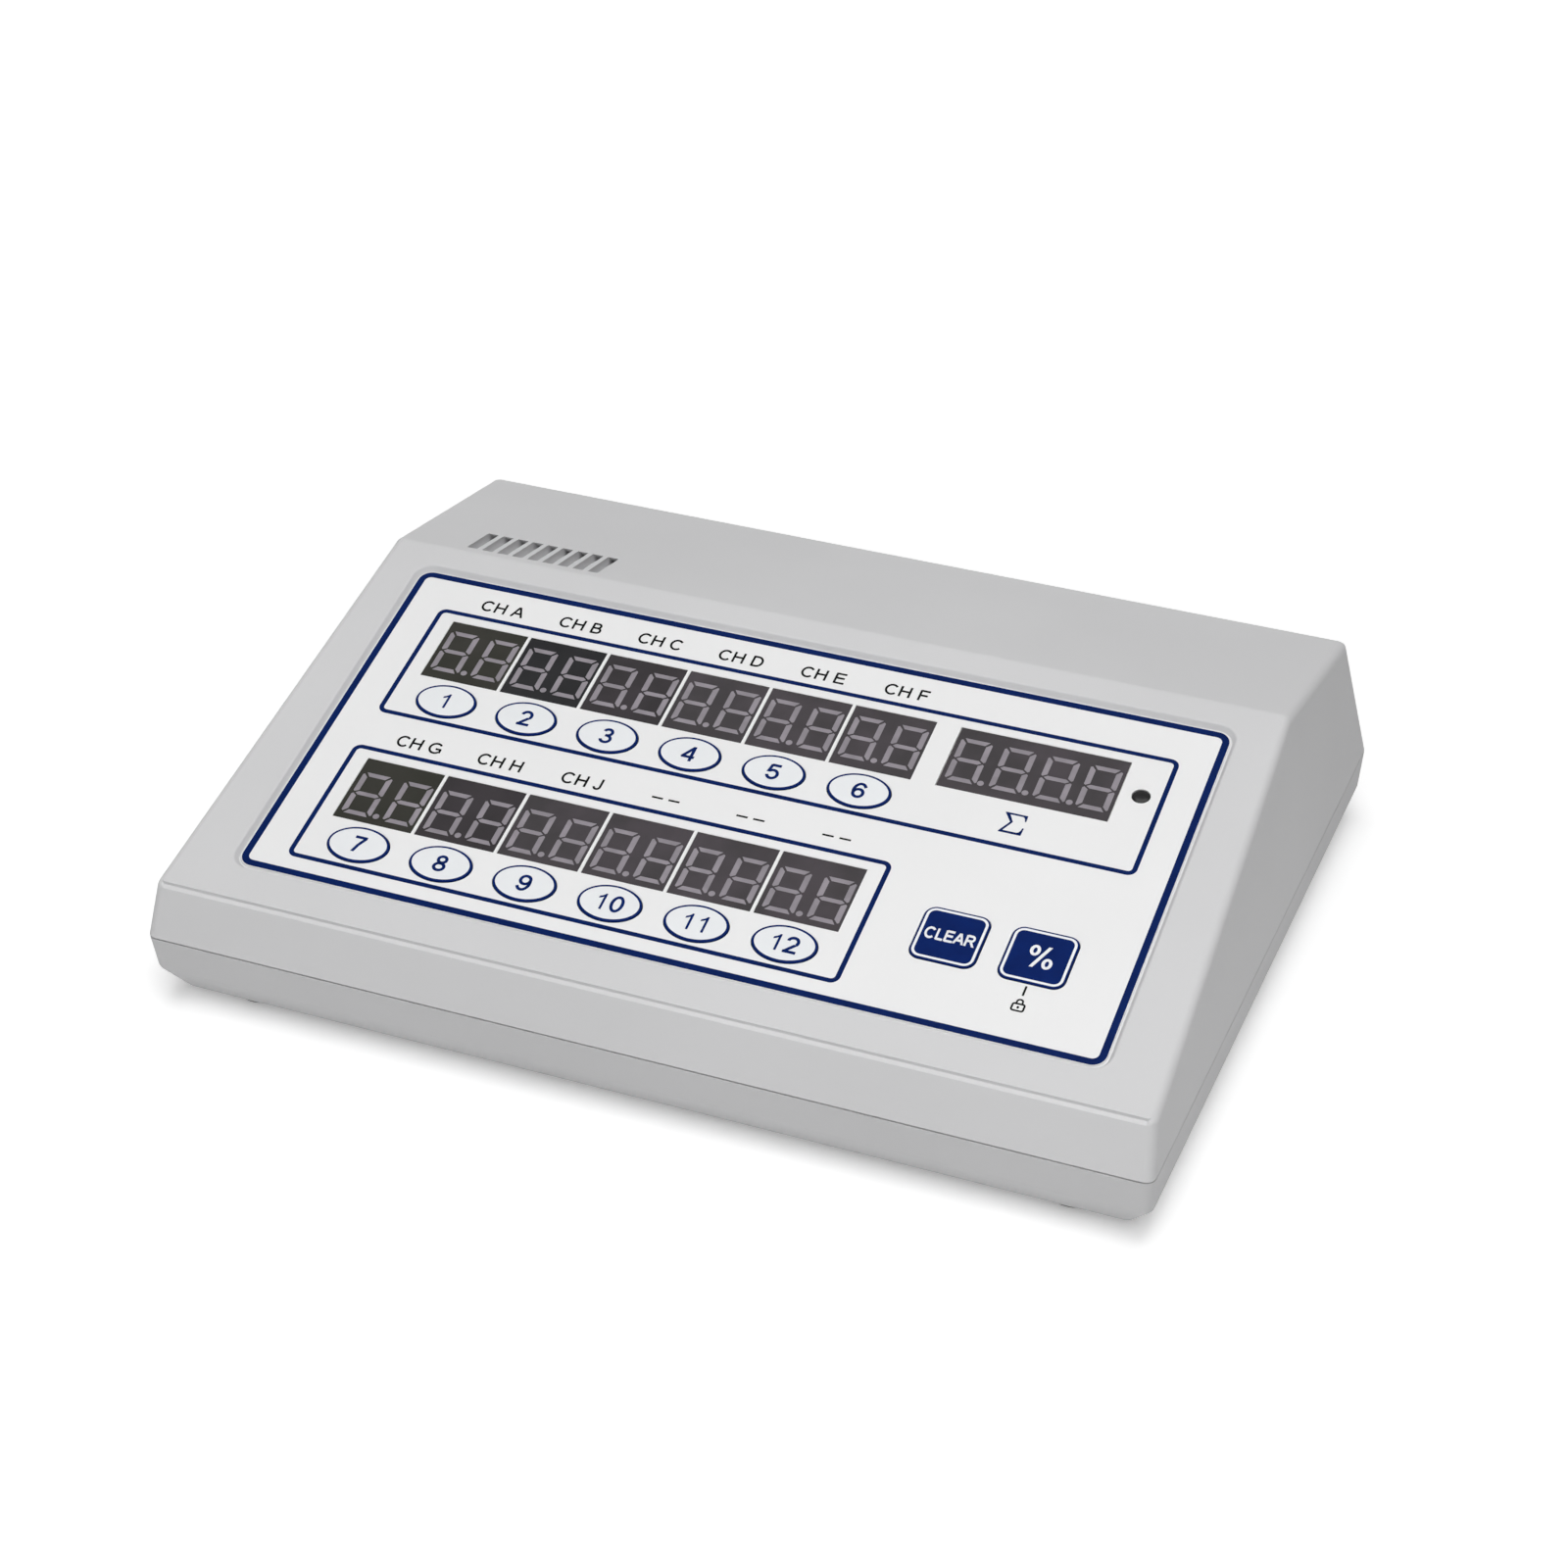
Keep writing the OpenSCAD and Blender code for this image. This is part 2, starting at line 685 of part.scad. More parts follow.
module lower_case() {
    color(grey_lower) difference() {
        union() {
            difference() {
                union() {
                    lower_form(0, split_z - joint_gap / 2, foot_h, chamfer_in);
                    lip_block(0, split_z - lip_root, split_z + lip_h);
                }
                lower_form(wall, split_z - lip_root, foot_h + wall, inner_chamfer_in);
                lip_block(-lip_t, split_z - lip_root - OVER, split_z + lip_h + OVER);
            }
            post_places() translate([0, 0, foot_h + wall / 2])
                cylinder(h = base_h - wall / 2, d = post_d);
        }
        post_places() {
            translate([0, 0, foot_h - OVER])
                cylinder(h = base_h + 2 * OVER, d = case_screw_d + 4 * hole_gap);
            translate([0, 0, foot_h - OVER])
                cylinder(h = head_seat_z - foot_h + OVER, d = case_head_d + 4 * hole_gap);
        }
        for (x = [-1, 1], y = [-1, 1])
            translate([x * foot_x, y * foot_y, foot_h - OVER])
                cylinder(h = foot_recess + OVER, d = foot_d + 2 * hole_gap);
    }
}

module rubber_feet() {
    color([0.13, 0.13, 0.13]) for (x = [-1, 1], y = [-1, 1])
        translate([x * foot_x, y * foot_y, 0]) rotate_extrude()
            polygon([[0, 0], [foot_d / 2 - foot_edge, 0], [foot_d / 2, foot_edge],
                     [foot_d / 2, foot_h + foot_recess], [0, foot_h + foot_recess]]);
}

// A pan-head screw that points up, its head's seat at the height 0
module screw(shank_d, shank_l, head_d, head_h) {
    edge = head_h / 4;
    tip = shank_d / 3;
    difference() {
        rotate_extrude() polygon([[0, -head_h], [head_d / 2 - edge, -head_h],
                                  [head_d / 2, edge - head_h], [head_d / 2, 0], [shank_d / 2, 0],
                                  [shank_d / 2, shank_l - tip], [0, shank_l]]);
        for (a = [0, 90]) rotate([0, 0, a])
            block(head_d * SLOT_L, head_d * SLOT_W, -head_h - OVER, head_h * (SLOT_D - 1));
    }
}

module case_screws() {
    color("silver") post_places() translate([0, 0, head_seat_z])
        screw(case_screw_d, case_screw_l, case_head_d, case_head_h);
}

module board_screw() {
    screw(board_screw_d, board_screw_l, board_head_d, board_head_h);
}

module board_screws() {
    color("silver") on_panel() board_hole_places() translate([0, 0, under_n]) board_screw();
}

module power_board_screws() {
    color("silver") on_back() power_hole_places() translate([0, 0, power_under_n]) board_screw();
}

// ---- the control panel ----

module front_film() {
    color([0.95, 0.95, 0.95]) on_panel() translate([0, 0, -recess_d]) linear_extrude(film_t)
        difference() {
            polygon(round_rect(film_w, film_h, film_r));
            key_outline(key_gap);
            window_outline();
            translate([indicator_x, top_row_v]) circle(d = indicator_d + 2 * hole_gap);
        }
}

module display(w, x, v) {
    color([0.2, 0.2, 0.2]) on_panel() translate([x, v, 0]) block(w, digit_h, board_n, face_n);
}

module channel_display(i) {
    display(digit_w, channel_x(i), channel_v(i));
}

module display_total() {
    display(total_w, total_x, top_row_v);
}

module indicator_lens() {
    color([0.08, 0.08, 0.08]) on_panel() translate([indicator_x, top_row_v, board_n]) {
        cylinder(h = film_top - board_n, d = indicator_d);
        cylinder(h = flange_t, d = indicator_d + 2 * flange_out);
    }
}

module plunger() {
    translate([0, 0, plunger_bottom]) cylinder(h = plunger_top - plunger_bottom, d = plunger_d);
}

module channel_key(i) {
    on_panel() translate([channel_x(i), channel_v(i) - key_drop, 0]) {
        color("aliceblue") prism(ellipse(oval_w, oval_h), -recess_d, film_top + key_proud);
        color("dimgray") plunger();
    }
}

module square_key_at(x) {
    on_panel() translate([x, square_v, 0]) {
        color(navy) prism(round_rect(square_key, square_key, square_key_r), -recess_d, film_top + key_proud);
        color("dimgray") plunger();
    }
}

module switch_body() {
    difference() {
        block(switch_side, switch_side, board_n, board_n + switch_h);
        translate([0, 0, plunger_bottom - key_travel - plunger_floor_gap])
            cylinder(h = switch_h, d = plunger_d + 2 * hole_gap);
    }
}

module key_switches() {
    color([0.15, 0.15, 0.15]) on_panel() {
        for (i = [1:2 * channels]) translate([channel_x(i), channel_v(i) - key_drop, 0]) switch_body();
        for (x = [percent_x - square_pitch, percent_x]) translate([x, square_v, 0]) switch_body();
    }
}

// ---- the main board and what it carries ----

module main_board() {
    color([0.1, 0.35, 0.2]) on_panel() difference() {
        translate([0, board_v, 0]) block(board_w, board_h, under_n, board_n);
        board_hole_places() board_hole(under_n);
    }
}

// A screw's hole through a board whose underside is at n
module board_hole(n) {
    translate([0, 0, n - OVER]) cylinder(h = board_t + 2 * OVER, d = board_screw_d + 2 * hole_gap);
}

// A chip package on the underside of the main board
module chip(l, w) {
    translate([0, 0, under_n - chip_t]) difference() {
        block(l, w, 0, chip_t);
        translate([-l / 2, 0, -OVER]) cylinder(h = notch_depth + OVER, r = notch_r);
    }
}

module controller_chip() {
    color([0.12, 0.12, 0.12]) on_panel() translate([0, controller_v, 0]) chip(controller_l, controller_w);
}

module display_drivers() {
    color([0.12, 0.12, 0.12]) on_panel() for (i = [-1.5:1:1.5])
        translate([i * (driver_l + driver_gap), driver_v, 0]) chip(driver_l, driver_w);
}

module clock_crystal() {
    x = controller_l / 2 + crystal_gap + crystal_l / 2;
    color("silver") on_panel() translate([x, controller_v, 0])
        prism(round_rect(crystal_l, crystal_w, crystal_r), under_n - crystal_h, under_n);
}

module can(d, h) {
    rotate_extrude()
        polygon([[0, 0], [d / 2, 0], [d / 2, can_edge - h], [d / 2 - can_edge, -h], [0, -h]]);
}

module filter_capacitors() {
    color([0.1, 0.15, 0.35]) on_panel() for (i = [0:2])
        translate([header_w / 2 + filter_in + filter_d / 2 + i * (filter_d + filter_gap), header_v,
                   under_n]) can(filter_d, filter_h);
}

module header_shell() {
    difference() {
        block(header_w, header_t, -header_h, 0);
        block(header_w - 2 * header_wall, header_t - 2 * header_wall, -header_h - OVER, -header_floor);
    }
}

module main_header() {
    color([0.1, 0.1, 0.1]) on_panel() translate([0, header_v, under_n]) header_shell();
}

module power_header() {
    color([0.1, 0.1, 0.1]) on_back() translate([0, 0, power_under_n]) header_shell();
}

// The plug's body fills the header's shell and stands proud of it
module ribbon_plug() {
    play = header_wall + plug_gap;
    block(header_w - 2 * play, header_t - 2 * play, -plug_end, -header_floor);
}

module ribbon_plugs() {
    color([0.25, 0.25, 0.25]) {
        on_panel() translate([0, header_v, under_n]) ribbon_plug();
        on_back() translate([0, 0, power_under_n]) ribbon_plug();
    }
}

// The cable's middle line in the side view, from plug to plug
cable_down = panel_point(header_v, under_n - plug_end - cable_straight);
cable_back = back_point(0, power_under_n - plug_end - cable_straight);
cable_line = [
    panel_point(header_v, under_n - plug_end), cable_down,
    (cable_down + cable_back) / 2 - [0, cable_sag],
    cable_back, back_point(0, power_under_n - plug_end)
];

function across(p, i) = let (
    a = unit(p[min(i + 1, len(p) - 1)] - p[max(i - 1, 0)])) [-a[1], a[0]];
function strip(p, t) = concat(
    [for (i = [0:len(p) - 1]) p[i] + across(p, i) * t / 2],
    [for (i = [len(p) - 1:-1:0]) p[i] - across(p, i) * t / 2]);

module ribbon_cable() {
    color([0.6, 0.6, 0.62]) translate([-ribbon_w / 2, 0, 0])
        rotate([90, 0, 90]) linear_extrude(ribbon_w) polygon(strip(cable_line, ribbon_t));
}

// ---- the power board and the back wall's parts ----

module power_board() {
    color([0.1, 0.35, 0.2]) on_back() difference() {
        block(power_w, power_h, power_under_n, power_n);
        power_hole_places() board_hole(power_under_n);
    }
}

module inlet_jack() {
    color([0.08, 0.08, 0.08]) on_back() translate([inlet_x, 0, 0]) difference() {
        union() {
            block(inlet_block, inlet_block, power_n, -wall - inlet_gap);
            translate([0, 0, -wall - 2 * inlet_gap]) cylinder(h = wall + 2 * inlet_gap, d = inlet_barrel);
        }
        translate([0, 0, -inlet_depth]) cylinder(h = inlet_depth + OVER, d = inlet_bore);
    }
}

module inlet_pin_contact() {
    color("silver") on_back() translate([inlet_x, 0, -inlet_depth])
        cylinder(h = inlet_depth - inlet_pin_in, d = inlet_pin);
}

module switch_housing() {
    color([0.1, 0.1, 0.1]) on_back() translate([-rocker_x, 0, 0]) difference() {
        union() {
            prism(round_rect(bezel_w, bezel_h, bezel_r), 0, bezel_t);
            block(switch_body_w, switch_body_h, -switch_body_d, EPS);
        }
        block(well_w, well_h, pivot_n - well_d, bezel_t + OVER);
        translate([-switch_body_w / 2 - OVER, 0, pivot_n]) rotate([0, 90, 0])
            cylinder(h = switch_body_w + 2 * OVER, d = pivot_d + 2 * pivot_gap);
    }
}

// The rocker's side view about its pivot: two finger faces that meet in a dip
rocker_profile = [
    [-rocker_h / 2, rocker_tip], [0, rocker_dip], [rocker_h / 2, rocker_tip],
    [rocker_h / 2 - rocker_taper, -rocker_under], [rocker_taper - rocker_h / 2, -rocker_under]
];

module switch_rocker() {
    color([0.12, 0.12, 0.12]) on_back() translate([-rocker_x, 0, pivot_n]) rotate([rocker_tilt, 0, 0]) {
        translate([-rocker_w / 2, 0, 0]) rotate([90, 0, 90]) linear_extrude(rocker_w) polygon(rocker_profile);
        translate([pivot_end_gap - switch_body_w / 2, 0, 0]) rotate([0, 90, 0])
            cylinder(h = switch_body_w - 2 * pivot_end_gap, d = pivot_d);
    }
}

module switch_terminals() {
    color("gold") on_back() for (y = [-1, 1])
        translate([-rocker_x, y * switch_body_h / 4, 0])
            block(terminal_w, terminal_t, power_n, -switch_body_d);
}

module voltage_regulator() {
    color([0.15, 0.15, 0.15]) on_back() translate([sink_x, -sink_t / 2 - regulator_t / 2, 0])
        block(regulator_w, regulator_t, power_under_n - regulator_h, power_under_n);
}

module heat_sink() {
    pitch = (sink_w - fin_t) / (sink_fins - 1);
    color("lightgray") on_back() translate([sink_x, 0, 0]) {
        translate([0, (sink_plate_t - sink_t) / 2, 0])
            block(sink_w, sink_plate_t, power_under_n - sink_h, power_under_n);
        for (i = [0:sink_fins - 1])
            translate([(fin_t - sink_w) / 2 + i * pitch, EPS, 0])
                block(fin_t, sink_t - 2 * EPS, power_under_n - sink_h, power_under_n);
    }
}

module reservoir_capacitor() {
    color([0.1, 0.15, 0.35]) on_back() translate([reservoir_x, 0, power_under_n])
        can(reservoir_d, reservoir_h);
}

module buzzer() {
    color([0.1, 0.1, 0.1]) on_back() translate([buzzer_x, 0, power_under_n]) difference() {
        can(buzzer_d, buzzer_h);
        translate([0, 0, -buzzer_h - OVER])
            cylinder(h = buzzer_hole_depth + OVER, d = buzzer_hole_d);
    }
}

upper_case();
lower_case();
front_film();
main_board();
key_switches();
board_screws();
case_screws();
rubber_feet();
channel_display(1);  // display_01
channel_display(2);  // display_02
channel_display(3);  // display_03
channel_display(4);  // display_04
channel_display(5);  // display_05
channel_display(6);  // display_06
channel_display(7);  // display_07
channel_display(8);  // display_08
channel_display(9);  // display_09
channel_display(10);  // display_10
channel_display(11);  // display_11
channel_display(12);  // display_12
display_total();
indicator_lens();
channel_key(1);  // key_01
channel_key(2);  // key_02
channel_key(3);  // key_03
channel_key(4);  // key_04
channel_key(5);  // key_05
channel_key(6);  // key_06
channel_key(7);  // key_07
channel_key(8);  // key_08
channel_key(9);  // key_09
channel_key(10);  // key_10
channel_key(11);  // key_11
channel_key(12);  // key_12
square_key_at(percent_x - square_pitch);  // key_reset
square_key_at(percent_x);  // key_percent
controller_chip();
display_drivers();
clock_crystal();
filter_capacitors();
main_header();
power_header();
ribbon_plugs();
ribbon_cable();
power_board();
power_board_screws();
inlet_jack();
inlet_pin_contact();
switch_housing();
switch_rocker();
switch_terminals();
voltage_regulator();
heat_sink();
reservoir_capacitor();
buzzer();
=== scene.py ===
# %% [markdown]
# # A differential cell counter
#
# The object is a small bench instrument: a sloping plastic case, a white printed film with twelve oval
# keys and two square ones, and two rows of unlit seven-segment displays. This lesson dresses its
# construction model with meshes from bmesh operators and materials from shader nodes. Each piece is
# drawn in millimetres on the face that carries it, and turned to metres last.

# %% The frame that the construction model gives
import bmesh
import bpy
import math
from bmesh.types import BMEdge, BMFace, BMVert
from mathutils import Matrix, Vector


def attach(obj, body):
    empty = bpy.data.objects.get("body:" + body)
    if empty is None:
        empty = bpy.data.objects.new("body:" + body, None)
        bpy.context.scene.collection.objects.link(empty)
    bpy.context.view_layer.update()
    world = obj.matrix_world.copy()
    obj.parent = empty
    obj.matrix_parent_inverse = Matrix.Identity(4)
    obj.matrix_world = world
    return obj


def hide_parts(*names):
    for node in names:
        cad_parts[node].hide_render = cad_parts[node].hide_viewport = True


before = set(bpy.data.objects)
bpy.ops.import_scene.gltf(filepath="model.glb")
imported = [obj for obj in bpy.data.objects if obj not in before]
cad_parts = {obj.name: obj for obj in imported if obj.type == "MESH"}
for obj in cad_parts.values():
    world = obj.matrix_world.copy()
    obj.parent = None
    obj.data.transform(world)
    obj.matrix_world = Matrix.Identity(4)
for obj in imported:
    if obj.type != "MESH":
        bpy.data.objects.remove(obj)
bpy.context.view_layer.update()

# %% [markdown]
# The camera comes first, since every later choice is judged through it. It could be placed by eye. Here
# it gets the three directions of a real view: a long lens, a bit over half a metre away, that looks down
# at thirty degrees from the front right.

# %% Camera
MM = 0.001
VIEW_ANGLE = 26.673
SENSOR = 36.0


def put(name, data):
    """Adds an object with its data to the scene."""
    obj = bpy.data.objects.new(name, data)
    bpy.context.scene.collection.objects.link(obj)
    return obj


def set_camera():
    """A long lens that sees the counter from the front right, with a slight roll."""
    lens = bpy.data.cameras.new("camera")
    lens.sensor_width = SENSOR
    lens.lens = SENSOR / 2 / math.tan(math.radians(VIEW_ANGLE / 2))
    lens.clip_start, lens.clip_end = 0.05, 20.0
    camera = put("camera", lens)
    right = Vector((0.93174412, 0.36227041, 0.02475966))
    up = Vector((-0.20244043, 0.46164078, 0.8636583))
    back = Vector((0.30144778, -0.80972091, 0.50346926))
    turn = Matrix((right, up, back)).transposed().to_4x4()
    camera.matrix_world = Matrix.Translation(Vector((173.23, -469.41, 316.19)) * MM) @ turn
    bpy.context.scene.camera = camera
    return camera


camera = set_camera()
print("lens:", round(camera.data.lens, 1), "mm")

# %% [markdown]
# ## Faces to draw on
#
# A key or a letter lies on a slope, so its place is simple only in that slope's own directions. Each
# big face of the case gets a frame in millimetres: x across it, y up it and z out of it. A piece is
# modelled flat in such a frame, and one matrix puts it on the case in metres.

# %% Frames of the faces
SPLIT_Z = 14.0
FRONT_Y = -73.3
CASE_W, CASE_D = 174.0, 146.6
# Side view of the upper half, from the joint's front corner: front ridge, top ridge and rear edge
RIDGE_Y, RIDGE_Z = 2.6, 9.6
TOP_Y, TOP_Z = 87.3, 35.82
REAR_Y, REAR_Z = 129.5, 29.7
PROFILE = [Vector(p) for p in ((0, 0), (RIDGE_Y, RIDGE_Z), (TOP_Y, TOP_Z), (REAR_Y, REAR_Z), (CASE_D, 0))]
SLOPE = math.radians(17.2)
SIDE_DRAFT = math.radians(5.8)
FRONT_LEAN = math.atan(RIDGE_Y / RIDGE_Z)
REAR_FALL = math.atan((TOP_Z - REAR_Z) / (REAR_Y - TOP_Y))
BACK_LEAN = math.atan((CASE_D - REAR_Y) / REAR_Z)
WORLD = Matrix.Scale(MM, 4)


def face_frame(middle, across, up):
    """A frame in mm on a face: x across, y up the face, z out of it. It leads to metres."""
    across, up = Vector(across), Vector(up)
    turn = Matrix((across, up, across.cross(up))).transposed().to_4x4()
    return Matrix.Translation(Vector(middle) * MM) @ turn @ WORLD


PANEL_UP = 45.4
UP_SLOPE = Vector((0, math.cos(SLOPE), math.sin(SLOPE)))
OUT_OF_SLOPE = Vector((0, -math.sin(SLOPE), math.cos(SLOPE)))
RIDGE = Vector((0, FRONT_Y + RIDGE_Y, SPLIT_Z + RIDGE_Z))
PANEL = face_frame(RIDGE + UP_SLOPE * PANEL_UP, (1, 0, 0), UP_SLOPE)
REAR = face_frame(
    (0, FRONT_Y + TOP_Y, SPLIT_Z + TOP_Z), (1, 0, 0), (0, math.cos(REAR_FALL), -math.sin(REAR_FALL))
)
BACK = face_frame(
    (0, FRONT_Y + (REAR_Y + CASE_D) / 2, SPLIT_Z + REAR_Z / 2), (-1, 0, 0),
    (0, -math.sin(BACK_LEAN), math.cos(BACK_LEAN)),
)
print("panel centre:", [round(v, 4) for v in PANEL.translation])

# %% [markdown]
# ## Finishes
#
# A material starts from what the real one is. Nodes could be joined by hand in the editor. Here one
# function adds a node, so each recipe stays short: a cloudy colour, a bumpy grain, a wandering roughness.

# %% Colour and node helpers


def linear(text):
    """The linear colour of an sRGB hex value such as d4d4d2."""
    parts = [int(text[i:i + 2], 16) / 255 for i in (0, 2, 4)]
    return tuple(c / 12.92 if c <= 0.04045 else ((c + 0.055) / 1.055) ** 2.4 for c in parts) + (1.0,)


def add(tree, kind, settings, links):
    """Adds one shader node, sets what settings names and joins what links names."""
    node = tree.nodes.new("ShaderNode" + kind)
    for key, value in settings.items():
        if isinstance(key, str) and hasattr(node, key):
            setattr(node, key, value)
        else:
            node.inputs[key].default_value = value
    for key, socket in links.items():
        tree.links.new(socket, node.inputs[key])
    return node


def new_finish(name, slot, sockets):
    """A material with a Principled shader, and the record's slot that it belongs to."""
    finish = bpy.data.materials.new(name)
    finish.use_nodes = True
    finish["slot"] = slot
    shader = finish.node_tree.nodes["Principled BSDF"]
    for key, value in sockets.items():
        shader.inputs[key].default_value = value
    place = add(finish.node_tree, "TexCoord", {}, {})
    return finish, finish.node_tree, shader, place.outputs["Object"]


def noise(tree, place, size_mm, detail):
    """The value of a noise with spots of a real size."""
    settings = {"Scale": 1 / (size_mm * MM), "Detail": detail}
    return add(tree, "TexNoise", settings, {"Vector": place}).outputs["Fac"]


def clouds(tree, shader, place, size_mm, pale, deep):
    """Lets the base colour wander between two close tones in clouds of a real size."""
    ramp = add(tree, "ValToRGB", {}, {"Fac": noise(tree, place, size_mm, 3.0)})
    for element, position, tone in zip(ramp.color_ramp.elements, (0.35, 0.65), (deep, pale)):
        element.position = position
        element.color = linear(tone)
    tree.links.new(ramp.outputs["Color"], shader.inputs["Base Color"])


def grain(tree, shader, place, size_mm, height_mm, rough, swing):
    """A moulded or sprayed grain: fine bumps of a real size, and a roughness that follows them."""
    fine = noise(tree, place, size_mm, 2.0)
    bump = add(tree, "Bump", {"Strength": 1.0, "Distance": height_mm * MM}, {"Height": fine})
    tree.links.new(bump.outputs["Normal"], shader.inputs["Normal"])
    gloss = add(tree, "MapRange", {"To Min": rough - swing, "To Max": rough + swing}, {"Value": fine})
    tree.links.new(gloss.outputs["Result"], shader.inputs["Roughness"])


print("white in linear light:", linear("ffffff"))

# %% [markdown]
# The case is moulded ABS with the fine matt grain of a spark-eroded mould. The real grain is near a
# tenth of a millimetre, too fine to show here, so it is drawn four times as coarse. The lower half is a
# slightly deeper batch of the same grey.

# %% Case plastics


def skin(index, share=0.5):
    """Shader settings of a plain surface: its index of refraction, and how strongly it reflects."""
    return {"IOR": index, "Specular IOR Level": share}


def coated(name, slot, sockets, cloud, texture):
    """A finish with clouds (size, two tones) and a grain (size, height, roughness, its swing)."""
    finish, tree, shader, place = new_finish(name, slot, sockets)
    clouds(tree, shader, place, *cloud)
    grain(tree, shader, place, *texture)
    return finish


UPPER_ABS = coated("spark_eroded_abs_light_grey", "case_light_grey", skin(1.53, 0.14),
                   (55.0, "d8d8d9", "d4d4d5"), (0.4, 0.012, 0.56, 0.05))
LOWER_ABS = coated("spark_eroded_abs_grey", "case_grey", skin(1.53, 0.14),
                   (55.0, "d1d1d2", "cdcdce"), (0.4, 0.012, 0.58, 0.05))

# %% [markdown]
# The front film is polyester, printed from behind and textured on its face, so it is whiter and
# smoother than the case. The inks could be drawn in its material. They are thin layers of mesh instead,
# because a screen print has an edge, and a mesh keeps that edge sharp at any distance.

# %% Film and inks
FILM = coated("velvet_polyester_film", "film_white", skin(1.58, 0.3),
              (30.0, "f0f0f0", "eeeeee"), (0.3, 0.004, 0.42, 0.05))
OVAL = coated("pale_key_print", "key_white", skin(1.58, 0.3),
              (12.0, "eef0f2", "ebedef"), (0.3, 0.004, 0.4, 0.05))


def ink(name, slot, share, cloud, rough):
    """A screen ink: thin, nearly smooth, and as glossy as share says."""
    return coated(name, slot, skin(1.5, share), cloud, (0.2, 0.003, rough, 0.06))


NAVY = ink("navy_screen_ink", "key_blue", 0.04, (3.0, "021f5a", "011b52"), 0.4)
KEY_NAVY = ink("navy_key_print", "key_blue", 0.04, (3.0, "022162", "011d5a"), 0.4)
BLACK_INK = ink("black_screen_ink", "black_plastic", 0.04, (2.0, "161616", "0f0f0f"), 0.45)
WHITE_INK = ink("white_screen_ink", "film_white", 0.5, (2.0, "f2f3f5", "eceef1"), 0.45)

# %% [markdown]
# A display is a white shell whose face is painted dark, with windows of milky epoxy, which are mid grey
# when unlit. The paint differs a little from batch to batch, so it is mixed in four tones, and a slow
# cloud keeps each face from looking like cut paper.

# %% Display finishes
REFLECTOR = coated("reflector_shell_white", "film_white", skin(1.55),
                   (6.0, "e6e6e4", "dededc"), (0.25, 0.006, 0.5, 0.05))
FACE_TONES = [
    ("olive_black", "3b3a36", "34342f"), ("black", "2e2e30", "262628"),
    ("graphite", "3f3b3e", "383537"), ("warm_grey", "4e494d", "444143"),
]
FACE_PAINTS = [
    coated("display_face_" + tone, "display_face", skin(1.5, 0.05), (9.0, pale, deep),
           (0.25, 0.004, 0.42, 0.06))
    for tone, pale, deep in FACE_TONES
]
EPOXY = coated("milky_epoxy_segment", "display_face", skin(1.52, 0.12),
               (4.0, "99939a", "8b868c"), (0.5, 0.006, 0.38, 0.05))
LENS = coated("smoked_acrylic", "smoked_lens", skin(1.49, 0.2),
              (2.0, "0d0d0e", "080809"), (0.6, 0.002, 0.18, 0.04))
print("finishes so far:", len(bpy.data.materials))

# %% [markdown]
# The parts at the back and inside are ordinary electronics. Most keep the construction model's shape,
# and get the finish that a bench photograph shows: nylon, chip epoxy, rubber, vinyl and the like.

# %% Plastics and rubber of the smaller parts


def moulded(name, slot, pale, deep, size_mm, rough):
    """A plain moulded part: cloudy colour, fine grain."""
    return coated(name, slot, skin(1.5), (5.0, pale, deep), (size_mm, 0.01, rough, 0.06))


NYLON = moulded("black_nylon", "black_plastic", "1e1e1e", "171717", 0.3, 0.45)
SWITCH_BLACK = moulded("switch_polyamide_black", "switch_black", "232323", "1b1b1b", 0.3, 0.4)
EPOXY_PACKAGE = moulded("moulded_chip_epoxy", "chip_black", "2b2b2b", "202020", 0.15, 0.6)
RUBBER = moulded("matt_black_rubber", "black_rubber", "262626", "1c1c1c", 0.35, 0.8)
SLEEVE = moulded("heat_shrunk_sleeve_blue", "capacitor_blue", "1f2f5e", "182650", 0.4, 0.3)
RIBBON_BASE = moulded("ribbon_vinyl_grey", "ribbon_grey", "9c9ca0", "8e8e93", 0.3, 0.5)

# %% [markdown]
# The metals take their colour from the base. Plated steel shows faint spangle, so its roughness follows
# a cell pattern. Extruded aluminium shows the die lines that run along it, so its noise is drawn out
# along them.

# %% Metals
METAL = {"Metallic": 1.0}
STEEL, tree, shader, place = new_finish("zinc_plated_steel", "screw_steel", METAL)
clouds(tree, shader, place, 2.0, "c9cbcc", "b6b9bb")
cells = add(tree, "TexVoronoi", {"Scale": 1 / (0.6 * MM)}, {"Vector": place})
sheen = add(tree, "MapRange", {"To Min": 0.25, "To Max": 0.45}, {"Value": cells.outputs["Distance"]})
tree.links.new(sheen.outputs["Result"], shader.inputs["Roughness"])

CAN_METAL = coated("drawn_nickel_can", "can_metal", METAL,
                   (3.0, "d0cfcb", "bfbeba"), (0.5, 0.004, 0.28, 0.08))
CONTACT = coated("tinned_brass", "contact_metal", METAL,
                 (2.0, "d8cba2", "c9b98a"), (0.4, 0.004, 0.3, 0.08))

SINK, tree, shader, place = new_finish("extruded_aluminium", "sink_aluminium", METAL)
clouds(tree, shader, place, 4.0, "c6c8ca", "b4b6b9")
drawn = add(tree, "Mapping", {"Scale": (1.0, 0.05, 0.05)}, {"Vector": place})
lines = noise(tree, drawn.outputs[0], 0.15, 3.0)
ridges = add(tree, "Bump", {"Distance": 0.01 * MM}, {"Height": lines})
tree.links.new(ridges.outputs["Normal"], shader.inputs["Normal"])
shader.inputs["Roughness"].default_value = 0.38

